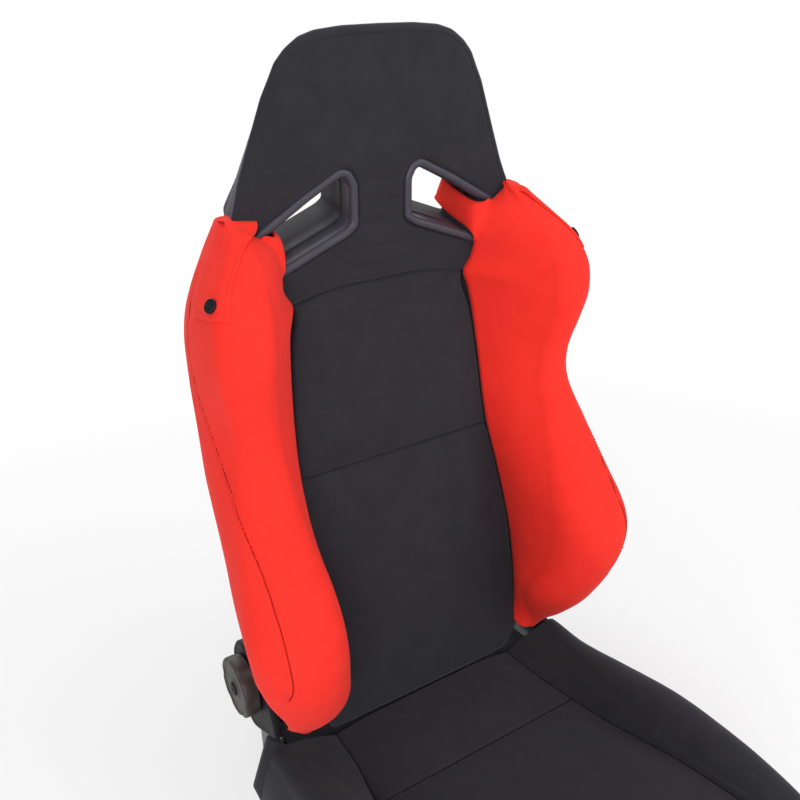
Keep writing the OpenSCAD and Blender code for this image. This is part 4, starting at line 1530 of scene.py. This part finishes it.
    def behind(self, corners: Array, y: Array, share: float, gap: Array, hole_gap: Array) -> Array:
        """Points of a layer behind the front skin.

        Args:
            corners: Points (x, z).
            y: Depth of the front skin.
            share: How far back, 0 in front and 1 behind.
            gap: Distance in from the outline.
            hole_gap: Distance from the belt openings.

        Returns:
            Points in space.
        """
        x, z = corners.T
        high = ease(z, 840, 1017)
        inward = self.pinch(z) * share * ease(np.abs(x), 20, 112)
        inward = np.sign(x) * inward * ease(hole_gap, 2, 34) * ease(z, 806, 822)
        bulge = 2.5 * math.sin(math.pi * share) * ease(8 - gap, 0, 8)
        deep = BACK_LINES.panel_y(z) + self.depth - 4
        if share > 0.95:
            deep = deep - roll(gap, 14) * 0.9 + 3 * ease(gap, 10, 60)
        flat_y = y + (deep - y) * share
        centre = np.array([0, 880.0])
        push = unit(corners - centre) * bulge[:, None] * ease(z, 835, 860)[:, None]
        climb = tunnel_rise(x, z, flat_y) * ease(30 - hole_gap, 0, 30)
        up = climb - self.drop * share * high**2 + push[:, 1]
        return np.column_stack([x - inward + push[:, 0], flat_y, z + up])


# ---------------------------------------------------------------- straps and snaps


@dataclass
class ShoulderStrap:
    """Cloth strap from the belt tunnel over the shoulder, and the snap that holds its end."""

    side: str
    thick: float = 2.0
    # Its upper edge, its lower edge and the way it faces, from the tunnel to the snap
    stations: tuple[tuple[tuple[float, float, float], ...], ...] = (
        ((143, 332, 827), (132, 332.5, 801), (-0.2, 0.95, 0)),
        ((151, 333, 829), (150, 332, 797), (0, 1, 0.05)),
        ((159, 326, 830), (174, 315, 804), (0.2, 0.9, 0.35)),
        ((158, 310, 829), (186, 300, 815), (0.2, 0.55, 0.8)),
        ((158, 290, 830), (191, 281, 825), (0.15, 0.15, 0.95)),
        ((158, 270, 829), (194, 266, 830), (0.1, -0.1, 0.95)),
        ((157, 251, 825), (193, 254, 831), (0.1, -0.5, 0.85)),
        ((165, 238, 819.5), (196, 249, 827), (0.3, -0.6, 0.75)),
        ((180, 222, 817.5), (200, 247, 818), (0.5, -0.5, 0.7)),
        ((194, 208, 809.5), (206, 245, 808), (0.6, -0.4, 0.7)),
        ((206, 196, 798), (214, 242, 795), (0.7, -0.4, 0.6)),
        ((215.5, 186, 786), (223, 239, 781), (0.75, -0.35, 0.6)),
        ((223.5, 175, 772.5), (232, 236, 765.5), (0.8, -0.25, 0.55)),
        ((230.5, 162, 755), (241.5, 231, 742), (0.85, -0.2, 0.5)),
    )
    # How far its upper edge lies further out on the right, where it is tucked beside the head
    tuck: tuple[float, ...] = (0, 0, 2, 17, 20, 22, 22, 16, 6, 0, 0, 0, 0, 0)
    rows: int = 150
    columns: int = 41
    # The row that starts to come down on the cover, and the one from which it lies there
    landing: tuple[int, int] = (70, 92)
    # Row and column of the snap
    snap: tuple[int, int] = (141, 29)

    @cached_property
    def skins(self) -> tuple[Array, Array]:
        """Outer and inner skins of the strap, laid on the cover past the shoulder."""
        table = np.array([sum(station, ()) for station in self.stations], float)
        if self.side == RIGHT:
            table += np.outer(self.tuck, (1, 0, -0.3, 0, 0, -0.2, 0, 0, 0))
        # The facing counts for more than its length, so that the steps follow its turns too
        fine = smooth_path(table * ([1] * 6 + [30] * 3), self.rows)
        u = np.linspace(-1, 1, self.columns)
        share = (u[None, :, None] + 1) / 2
        inner = fine[:, None, 3:6] * (1 - share) + fine[:, None, :3] * share
        up = unit(fine[:, 6:])
        out = np.broadcast_to(up[:, None], inner.shape).copy()
        points, faces, _, _ = SideBolster(self.side).skin()
        cover = BVHTree.FromPolygons(points.tolist(), faces)
        for i in range(self.landing[0], self.rows):
            share = float(ease(i, *self.landing))
            for j in range(self.columns):
                spot, normal, _, _ = cover.find_nearest(Vector(inner[i, j]))
                normal = np.array(normal)
                normal *= math.copysign(1, float(normal @ up[i]))
                inner[i, j] += (np.array(spot) + normal * 0.4 - inner[i, j]) * share
                out[i, j] = out[i, j] * (1 - share) + normal * share
        out = unit(soften(out, 2.0))
        inner = soften(inner, 1.5)
        row = np.arange(self.rows)
        edge = (1 - np.abs(u)) * 21
        puff = 0.8 * ease(edge, 0, 2.5) - 0.9 * bell(edge - 4.6, 1.3)
        hem = bell((1 - row / row[-1]) * 170 - 5, 1.3)
        wave = uneven(inner, (28, 4.4, 0.5)) * ease(row, 60, 90)[:, None] * ease(edge, 0, 8)[None]
        lift = 2.4 * ease(u, 0.4, 1)[None] * bell(row - 88, 14)[:, None]
        rise = self.thick - 0.8 + puff[None] + wave + lift - 0.9 * hem[:, None]
        rise *= 1 - 0.35 * ease(row, 146, 149)[:, None]
        return inner + out * rise[..., None], inner + out * (lift * 0.9)[..., None]

    def build(self, thread: Thread) -> bpy.types.Object:
        """The strap, as a sheet of cloth with a thickness, with its edge stitches."""
        outer, inner = self.skins
        shape = Shape()
        shape.add_slab(outer, inner)
        piece = shape.build(f"shoulder_strap_{self.side}", self.side, looks=[Look.RED_CLOTH])
        dress(piece, BACK, [f"strap_{self.side}"])
        middle = inner[:, self.columns // 2]
        length = np.linalg.norm(np.diff(middle, axis=0), axis=1).sum()
        width = SideBolster.area(inner) / length
        if self.side == RIGHT:
            # Two rows down the edges, 5 columns in, and one across the end
            lifted = outer + 0.3 * unit(outer - inner)
            thread.sew(lifted[66:146, 5])
            thread.sew(lifted[66:146, 35])
            thread.sew(lifted[145, 4:37])
        return piece

    def snap_place(self) -> tuple[Array, Array]:
        """Middle and direction of the snap."""
        outer, inner = (skin[self.snap] for skin in self.skins)
        facing = unit(unit(outer - inner) + (0, -0.2, 0))
        return outer + facing * 0.9, facing


@dataclass(frozen=True)
class SnapCap:
    """Pressed metal cap of a snap fastener: a rolled rim round a shallow dish."""

    radius: float = 8.0

    def build(self, places: Sequence[tuple[Array, Array]]) -> bpy.types.Object:
        """All the caps as one piece."""
        r = self.radius
        profile = [(0, 2.1), (0.35, 2.15), (0.62, 1.95), (0.72, 1.75), (0.8, 2.1), (0.88, 2.35)]
        profile += [(0.96, 2.1), (1.0, 1.3), (0.97, 0.3), (0.9, -0.4)]
        shape = Shape()
        turn = turns(40)[:, None]
        for middle, facing in places:
            side = unit(np.cross(facing, (0, 0, 1.0)))
            up = np.cross(side, facing)
            ring = np.cos(turn) * side + np.sin(turn) * up
            rows = [middle + ring * r * share + facing * high for share, high in profile[1:]]
            first, last = (middle + facing * profile[end][1] for end in (0, -1))
            shape.add_rings(np.array(rows), first, last)
        piece = shape.build("snap_caps", looks=[Look.SNAP])
        return dress(piece, BACK, ["strap_snaps"])


# ---------------------------------------------------------------- rear cover


@dataclass
class RearCover:
    """Black cloth over the back's rear, from one side cover round to the other."""

    half: Curve = Curve(
        ((165, 172), (290, 174), (330, 190), (353, 212), (400, 214), (600, 217), (690, 215))
        + ((726, 208), (760, 200))
    )
    edge: Ramp = Ramp(((165, 60), (290, 62), (330, 73), (356, 73), (384, 46), (800, 46)))
    thin: Curve = Curve(((165, 0), (640, 0), (700, 2), (750, 10)))
    depth: float = 80
    corner: float = 20
    thick: float = 3
    cross_seam: float = 455

    def skin(self) -> Array:
        """Outer skin, one row for each height."""
        rows = []
        for z in near_even(172, 750, 5):
            front = float(BACK_LINES.panel_y(z))
            half, edge = float(self.half(z)), front + float(self.edge(z))
            deep = front + self.depth - float(self.thin(z))
            r = max(min(self.corner, deep - edge - 1.5), 3)
            bend = arc(np.array([half - r, deep - r]), r, 0, math.pi / 2, 14)
            sides = np.linspace([half, edge], bend[0], 8)[:-1]
            crown = np.linspace(bend[-1], [0, deep], 40)[1:]
            crown[:, 1] += 3.0 * ease(half - crown[:, 0], 20, 110)
            right = np.vstack([sides, bend, crown])
            line = np.vstack([right, right[-2::-1] * (-1, 1)])
            rows.append(np.column_stack([line, np.full(len(line), z)]))
        grid = soften(np.array(rows), 1.5)
        normal = self.normals(grid)
        rise = uneven(grid, (95, 6.1, 1.2), (30, 9.3, 0.25))
        grid = grid + normal * rise[..., None]
        return grid + normal * self.seams(grid)[..., None]

    @staticmethod
    def normals(grid: Array) -> Array:
        """Outward normals of the cover's skin."""
        return skin_normals(grid, grid.mean(1, keepdims=True) * (1, 0, 1) + (0, 150, 0))

    def seams(self, grid: Array) -> Array:
        """Sunk seams: one down each side, and one across between them."""
        x, z = np.abs(grid[..., 0]), grid[..., 2]
        down = np.abs(x - self.seam_x(z))
        across = np.where(x < self.seam_x(z), np.abs(z - self.cross_seam), 99)
        gap = np.minimum(down, across)
        return 0.7 * bell(gap - 7, 4) - 1.6 * bell(gap, 2.2)

    @staticmethod
    def seam_x(z: Array) -> Array:
        """Half spread of the two upright seams."""
        return 128 + 24 * ease(z, 200, 420) - 14 * ease(z, 560, 745)

    def build(self) -> bpy.types.Object:
        """The closed cover."""
        grid = self.skin()
        shape = Shape()
        shape.add_slab(grid, grid - self.normals(grid) * self.thick)
        piece = shape.build("rear_cover_cloth", looks=[Look.REAR_CLOTH])
        return dress(piece, BACK, ["back_shell"])


# ---------------------------------------------------------------- cushion


@dataclass(frozen=True)
class CushionLines:
    """Lines that the cushion's pieces share, in mm over the distance behind the bolts' centre."""

    pad_z: Curve = Curve(
        ((-330, 205), (-290, 221), (-250, 222), (-150, 205), (-60, 180), (20, 166), (90, 162))
        + ((146, 158),)
    )
    pad_x: Curve = Curve(((-330, 178), (-250, 175), (-100, 168), (20, 158), (90, 148), (146, 145)))
    crest_z: Curve = Curve(
        ((-330, 210), (-300, 234), (-265, 242), (-180, 245), (-90, 238), (0, 215), (80, 193))
        + ((130, 187), (146, 184), (176, 180))
    )
    crest_x: Curve = Curve(
        ((-330, 200), (-265, 206), (-90, 208), (80, 212), (146, 220), (176, 224))
    )
    crest_r: Curve = Curve(((-330, 20), (-265, 30), (-90, 34), (80, 28), (146, 20), (176, 18)))
    low_x: Curve = Curve(((-330, 222), (-280, 242), (40, 243), (146, 244), (176, 243)))
    floor_z: float = 78
    plate_face: float = 213


CUSHION = CushionLines()


@dataclass
class SeatPad:
    """One foam pad of the cushion's middle, with rolled edges."""

    name: str
    node: str
    front_y: float
    rear_y: float
    crown: float = 7.0
    edge: float = 6.0
    hidden_rear: bool = False
    rows: int = 100

    def build(self) -> bpy.types.Object:
        """The closed pad."""
        u, v = panel_steps(self.rows)
        y = (self.front_y + (self.rear_y - self.front_y) * v)[:, None] + 0 * u[None]
        half = CUSHION.pad_x(y) - 0.3
        x = u[None] * half
        rear_gap = (self.rear_y - y) + (60 if self.hidden_rear else 0)
        gap = corner_gap(half - np.abs(x), y - self.front_y + 0.02, rear_gap + 0.02)
        swell = self.crown * ease(gap, 0, 55) ** 0.8
        z = CUSHION.pad_z(y) + swell - roll(gap, self.edge) + 0.6
        z += uneven(np.stack([x, y, z], 2), (85, 3.7, 1.0), (26, 9.2, 0.25)) * ease(gap, 1, 14)
        z += pucker(x, gap)
        top = np.stack([x, y, z], 2)
        bottom = top.copy()
        bottom[..., 2] = CUSHION.floor_z + 0.4
        shape = Shape()
        shape.add_slab(top, bottom)
        piece = shape.build(self.name, looks=[Look.BLACK_CLOTH])
        return dress(piece, BASE, [self.node])


@dataclass
class CushionSkirt:
    """Cloth that closes the cushion behind, under the backrest's lower end."""

    half: float = 203
    thick: float = 1.5

    def build(self) -> bpy.types.Object:
        """A slack sheet from the rear pad down and back under the backrest."""
        path = smooth_path([(138, 140), (150, 147), (164, 145), (184, 140), (208, 139), (238, 137)], 24)
        x = near_even(-self.half, self.half, 8)
        grid = np.array([[(across, *place) for across in x] for place in path])
        grid[..., 2] += uneven(grid, (60, 1.3, 1.4)) - 2 * (x / self.half)[None] ** 2
        ids = np.arange(grid[..., 0].size).reshape(grid.shape[:2])
        shape = Shape()
        shape.add_cloth(grid.reshape(-1, 3), grid_faces(ids), self.thick)
        piece = shape.build("cushion_skirt", looks=[Look.BLACK_CLOTH])
        dress(piece, BASE)
        return piece


@dataclass
class SeatBolster:
    """Foam roll along one side of the cushion."""

    side: str

    def ring(self, y: float) -> Array:
        """Closed section at one place along the seat."""
        lines = CUSHION
        inner = float(lines.pad_x(y))
        past = float(ease(y, 145.6, 146.4))
        inner += (lines.plate_face + 3 - inner) * past
        radius = min(float(lines.crest_r(y)), float(lines.crest_x(y)) - inner)
        seam_z = float(lines.pad_z(y)) * (1 - past) + 176 * past
        seam = np.array([inner, -seam_z])
        nose = np.array([float(lines.crest_x(y)), radius - float(lines.crest_z(y))])
        rear = np.array([float(lines.low_x(y)), -(lines.floor_z + 24)])
        a0 = tangent(seam, 0, nose, radius)
        side = tangent(nose, radius, rear, 12)
        front = arc(nose, radius, a0, side, 34)
        back = arc(rear, 12, side, math.pi / 2, 8)
        line = np.vstack(
            [seam[None], flank(seam, front[0], 3 * (1 - past), 12), front]
            + [flank(front[-1], back[0], 3 * (1 - past), 16), back]
        )
        corner = np.array([inner, line[-1, 1]])
        line = np.vstack([line, way_back(line, corner)])
        return np.column_stack([line[:, 0], np.full(len(line), y), -line[:, 1]])

    def build(self) -> bpy.types.Object:
        """The closed bolster, its front end rounded over."""
        places = np.concatenate(
            [near_even(-330, 145.4, 5), [145.6, 145.8, 146, 146.2, 146.4], near_even(150, 176, 5)]
        )
        rings = np.array([self.ring(y) for y in places])
        middle = rings.mean(1, keepdims=True)
        wave = uneven(rings, (80, 5.5, 1.0), (25, 2.6, 0.25))
        columns = np.arange(rings.shape[1])
        fade = ease(columns, 1, 9) * ease(70 - columns, 1, 9)
        fade = fade[None] * ease(140 - places, 0, 20)[:, None]
        out = unit((rings - middle) * (1, 0, 1))
        rings = rings + out * (wave * fade)[..., None]
        tip = np.clip((places + 330) / 14, 0, 1)
        shrink = 1 - 0.06 * (1 - np.sqrt(np.maximum(1 - (1 - tip) ** 2, 0)))
        rings = middle + (rings - middle) * shrink[:, None, None]
        rings[..., 1] = places[:, None]
        shape = Shape()
        shape.add_rings(rings, rings[0].mean(0) + (0, -0.3, 0))
        piece = shape.build(f"seat_bolster_cloth_{self.side}", self.side, looks=[Look.BLACK_CLOTH])
        return dress(piece, BASE, [f"seat_bolster_{self.side}"])


# ---------------------------------------------------------------- recliners


@dataclass
class RecliningGear:
    """Housing, dial and screw at one side of the hinge."""

    side: str
    hinge: tuple[float, float] = (208, 248)
    face: float = 213
    step: float = 12
    depth: float = 22
    reach: float = 66
    dial_radius: float = 40
    dial_depth: float = 20
    lobes: int = 6
    outline: tuple[tuple[float, float], ...] = (
        ((132, 213), (134, 232), (148, 262), (168, 286), (190, 300), (222, 300), (244, 290))
        + ((256, 268), (256, 225), (232, 184), (203, 174))
    )

    def housing(self) -> bpy.types.Object:
        """Moulded housing with a stepped foot and bevelled front edge."""
        hub = np.array(self.hinge, float)
        outer = np.array(self.outline, float)
        foot = [hub + (p - hub) * min(1, self.reach / np.linalg.norm(p - hub)) for p in outer]
        step_x = self.face + self.step
        top_x = self.face + self.depth
        layers = [(self.face + 0.2, foot, 0), (step_x - 0.4, foot, 0)]
        layers += [(step_x + 0.2, outer, 0.8), (step_x + 0.8, outer, 0.1), (top_x - 4, outer, 0)]
        layers += [(top_x - 2.6, outer, 0.3), (top_x - 0.9, outer, 1.5), (top_x - 0.2, outer, 3.2)]
        layers += [(top_x - 0.1, outer, 5.5), (top_x - 0.9, outer, 6.6), (top_x - 0.9, outer, 9)]
        rings = []
        for x, corners, inset in layers:
            loop = round_off(divide(inset_corners(corners, inset), [12] * len(corners)), 6)
            rings.append(np.column_stack([np.full(len(loop), x), loop]))
        shape = Shape()
        shape.add_rings(np.array(rings))
        piece = shape.build(f"recliner_cover_{self.side}", self.side, looks=[Look.HOUSING])
        sharpen(piece, 38)
        return dress(piece, BASE, [f"recliner_housing_{self.side}"])

    def dial(self) -> bpy.types.Object:
        """Hand dial with finger lobes, a bevelled rim and a dished face."""
        x0 = self.face + self.depth + 0.5
        turn = turns(180)
        dip = 3.0 * np.maximum(0, np.cos(self.lobes * turn)) ** 1.4
        profile = [(0.9, 0), (0.96, 0.3), (0.985, 1.6), (0.985, 5), (1, 6.5), (1, 15.5)]
        profile += [(0.99, 17.6), (0.965, 19.0), (0.93, 19.7), (0.885, 19.8), (0.86, 19.2)]
        profile += [(0.83, 18.4), (0.7, 18.1), (0.5, 18.2), (0.36, 18.5), (0.34, 19.1), (0.31, 19.5)]
        profile += [(0.24, 19.6), (0.23, 19.0)]
        rings = []
        for share, height in profile:
            lobe = dip * ease(share, 0.55, 0.95) * (0.25 + 0.75 * ease(height, 3, 8))
            radius = self.dial_radius * share - lobe
            y = self.hinge[0] + radius * np.cos(turn)
            z = self.hinge[1] + radius * np.sin(turn)
            rings.append(np.column_stack([np.full(len(turn), x0 + height), y, z]))
        shape = Shape()
        shape.add_rings(np.array(rings))
        piece = shape.build(f"recline_dial_{self.side}", self.side, looks=[Look.KNOB])
        sharpen(piece, 30)
        return dress(piece, DRIVE, [f"dial_{self.side}"])

    def screw_places(self) -> tuple[Array, Array]:
        """Middle and direction of the dial's screw, mirrored for the left."""
        sign = 1 if self.side == RIGHT else -1
        x = (self.face + self.depth + 0.5 + self.dial_depth) * sign
        return np.array([x, *self.hinge]), np.array([float(sign), 0, 0])


def build_screws(gears: Sequence[RecliningGear]) -> bpy.types.Object:
    """Dial caps: low discs with a bevel and a cross recess."""
    shape = Shape()
    turn = turns(64)
    cross = (np.cos(2 * turn) ** 6)[:, None]
    ring = np.column_stack([0 * turn, np.cos(turn), np.sin(turn)])
    bevel = ((9, -1.2), (9, 0.6), (8.5, 1.2), (7.6, 1.45), (4.2, 1.5))
    for gear in gears:
        middle, facing = gear.screw_places()
        rows = [middle + ring * radius + facing * height for radius, height in bevel]
        rows.append(middle + ring * (1.2 + 2.6 * cross) + facing * 1.5)
        rows.append(middle + ring * (1.0 + 2.4 * cross) + facing * 0.2)
        shape.add_rings(np.array(rows), middle - facing * 1.2, middle + facing * 0.2)
    piece = shape.build("dial_cap_screws", looks=[Look.HOUSING])
    sharpen(piece, 35)
    return dress(piece, DRIVE, ["dial_screws"])


# ---------------------------------------------------------------- steel frame and studio


@dataclass
class SteelFrame:
    """CAD nodes that keep their shape, and the finish that each one gets."""

    coated: tuple[str, ...] = (
        "side_frame_left",
        "side_frame_right",
        "front_cross_tube",
        "rear_cross_tube",
        "seat_pan",
        "recliner_plate_left",
        "recliner_plate_right",
        "back_plate_left",
        "back_plate_right",
        "back_tube_left",
        "back_tube_right",
        "back_top_tube",
        "back_lower_tube",
    )
    plated: tuple[str, ...] = ("plate_bolts", "back_springs", "drive_shaft")

    def dress(self, nodes: dict[str, bpy.types.Object]) -> None:
        """Give each node its finish."""
        for names, look in ((self.coated, Look.FRAME), (self.plated, Look.ZINC)):
            for name in names:
                piece = nodes[name]
                piece.data.materials.clear()
                piece.data.materials.append(look.value.build())
                LOG.info("%s is %s", name, look.value.name)


@dataclass
class Studio:
    """Plain floor, soft light and the camera."""

    place: tuple[float, float, float] = (-0.5262, -0.6078, 1.0821)
    sight: tuple[float, float, float] = (0.4807, 0.7514, -0.4521)
    lens: float = 39.6
    ambient: float = 0.4

    @staticmethod
    def direct_ray(tree: Any) -> Any:
        """Socket that is 1 for the rays that look at the background: camera, glossy, transmitted."""
        rays = add_node(tree, "ShaderNodeLightPath").outputs
        seen = rays["Is Camera Ray"]
        for other in ("Is Glossy Ray", "Is Transmission Ray"):
            settings = {"operation": "MAXIMUM"}
            seen = add_node(tree, "ShaderNodeMath", settings, {0: seen, 1: rays[other]}).outputs[0]
        return seen

    def floor(self) -> None:
        """A wide pale floor that keeps the seat's shadow, and fades to white further out."""
        mesh = bpy.data.meshes.new("studio_floor")
        mesh.from_pydata([(-40, -40, 0), (40, -40, 0), (40, 40, 0), (-40, 40, 0)], [], [(0, 1, 2, 3)])
        plane = add_object("studio_floor", mesh)
        material = bpy.data.materials.new("studio_floor_paint")
        material.use_nodes = True
        tree = material.node_tree
        shader = tree.nodes["Principled BSDF"]
        shader.inputs["Base Color"].default_value = linear("#f6f6f6")
        shader.inputs["Roughness"].default_value = 0.9
        place = add_node(tree, "ShaderNodeTexCoord").outputs["Object"]
        reach = add_node(tree, "ShaderNodeVectorMath", {"operation": "LENGTH"}, {0: place})
        fade = add_node(
            tree,
            "ShaderNodeMapRange",
            {"From Min": 0.5, "From Max": 1.7, "To Min": 0.45, "To Max": 1.0},
            {"Value": reach.outputs["Value"]},
        )
        share = add_node(
            tree,
            "ShaderNodeMath",
            {"operation": "MULTIPLY"},
            {0: self.direct_ray(tree), 1: fade.outputs[0]},
        )
        white = add_node(tree, "ShaderNodeEmission", {"Color": WHITE, "Strength": 1.0})
        mix = add_node(
            tree,
            "ShaderNodeMixShader",
            links={0: share.outputs[0], 1: shader.outputs[0], 2: white.outputs[0]},
        )
        tree.links.new(mix.outputs[0], tree.nodes["Material Output"].inputs["Surface"])
        mesh.materials.append(material)

    def world(self) -> None:
        """Even light all round, and a white background."""
        world = bpy.data.worlds.new("studio_world")
        bpy.context.scene.world = world
        world.use_nodes = True
        tree = world.node_tree
        tree.nodes.clear()
        light = add_node(tree, "ShaderNodeBackground", {"Color": WHITE, "Strength": self.ambient})
        white = add_node(tree, "ShaderNodeBackground", {"Color": WHITE, "Strength": 1.0})
        mix = add_node(
            tree,
            "ShaderNodeMixShader",
            links={0: self.direct_ray(tree), 1: light.outputs[0], 2: white.outputs[0]},
        )
        add_node(tree, "ShaderNodeOutputWorld", links={"Surface": mix.outputs[0]})

    def lamp(self, name: str, place: Sequence[float], size: float, power: float) -> None:
        """One soft lamp that faces the seat."""
        data = bpy.data.lights.new(name, "AREA")
        data.size = size
        data.energy = power
        lamp = add_object(name, data)
        lamp.location = place
        aim = Vector((0, 0.05, 0.5)) - Vector(place)
        lamp.rotation_euler = aim.to_track_quat("-Z", "Y").to_euler()

    def camera(self) -> None:
        """Camera above the seat's front left corner."""
        data = bpy.data.cameras.new("studio_camera")
        data.lens = self.lens
        data.sensor_width = 36
        data.clip_start = 0.01
        camera = add_object("studio_camera", data)
        camera.location = self.place
        camera.rotation_euler = Vector(self.sight).to_track_quat("-Z", "Y").to_euler()
        bpy.context.scene.camera = camera

    def build(self) -> None:
        """Everything round the seat."""
        self.camera()
        self.floor()
        self.world()
        self.lamp("key_lamp", (-1.7, -2.3, 1.9), 1.5, 62)
        self.lamp("fill_lamp", (1.7, -2.1, 2.0), 1.6, 30)
        self.lamp("top_lamp", (0.0, 0.3, 2.9), 1.6, 12)
        self.lamp("rear_lamp", (0.4, 2.6, 2.0), 1.8, 22)
        bpy.context.scene.view_settings.view_transform = "Standard"


# ---------------------------------------------------------------- the whole seat


def level(height: float) -> Callable[[Array], Array]:
    """A level border at a height."""
    return lambda x: height + 0 * x


def main() -> None:
    """Build and dress the seat, piece by piece."""
    logging.basicConfig(level=logging.INFO, format="%(name)s: %(message)s")
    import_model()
    Studio().build()
    SteelFrame().dress({o.name: o for o in bpy.data.objects if o.type == "MESH"})

    red = Thread("cover_stitches", BACK, Look.RED_THREAD)
    # Lower border of the back's cloth, over the distance from the middle
    bottom = Curve(((0, 156), (100, 157), (140, 162), (151, 168), (300, 168)))
    seam = BACK_LINES.mid_seam_z
    # Half the gap between two panels at their seam
    gap = 0.3
    BackPanel(
        "lumbar_panel_cloth", "back_panel_lower", bottom, level(seam - gap), open_below=True
    ).build()
    yoke = BACK_LINES.yoke_edge
    BackPanel(
        "shoulder_panel_cloth", "back_panel_upper", level(seam + gap), lambda x: yoke(x) - gap
    ).build()

    for side in SIDES:
        BeltOpening(side).build()
    hole = BeltOpening(RIGHT).hole()
    HeadRest().build([hole, hole * (-1, 1)])

    caps = []
    for side in SIDES:
        bolster = SideBolster(side)
        bolster.build_foam()
        bolster.build_cover(red)
        strap = ShoulderStrap(side)
        strap.build(red)
        place, facing = strap.snap_place()
        flip = np.array((1 if side == RIGHT else -1, 1, 1))
        caps.append((place * flip, facing * flip))
    SnapCap().build(caps)
    RearCover().build()

    SeatPad("front_seat_cloth", "seat_pad_front", -330, 19.7).build()
    SeatPad("rear_seat_cloth", "seat_pad_rear", 20.3, 146, hidden_rear=True).build()
    CushionSkirt().build()
    gears = []
    for side in SIDES:
        SeatBolster(side).build()
        gear = RecliningGear(side)
        gear.housing()
        gear.dial()
        gears.append(gear)
    build_screws(gears)
    red.build("red_cloth")


if __name__ == "__main__":
    main()
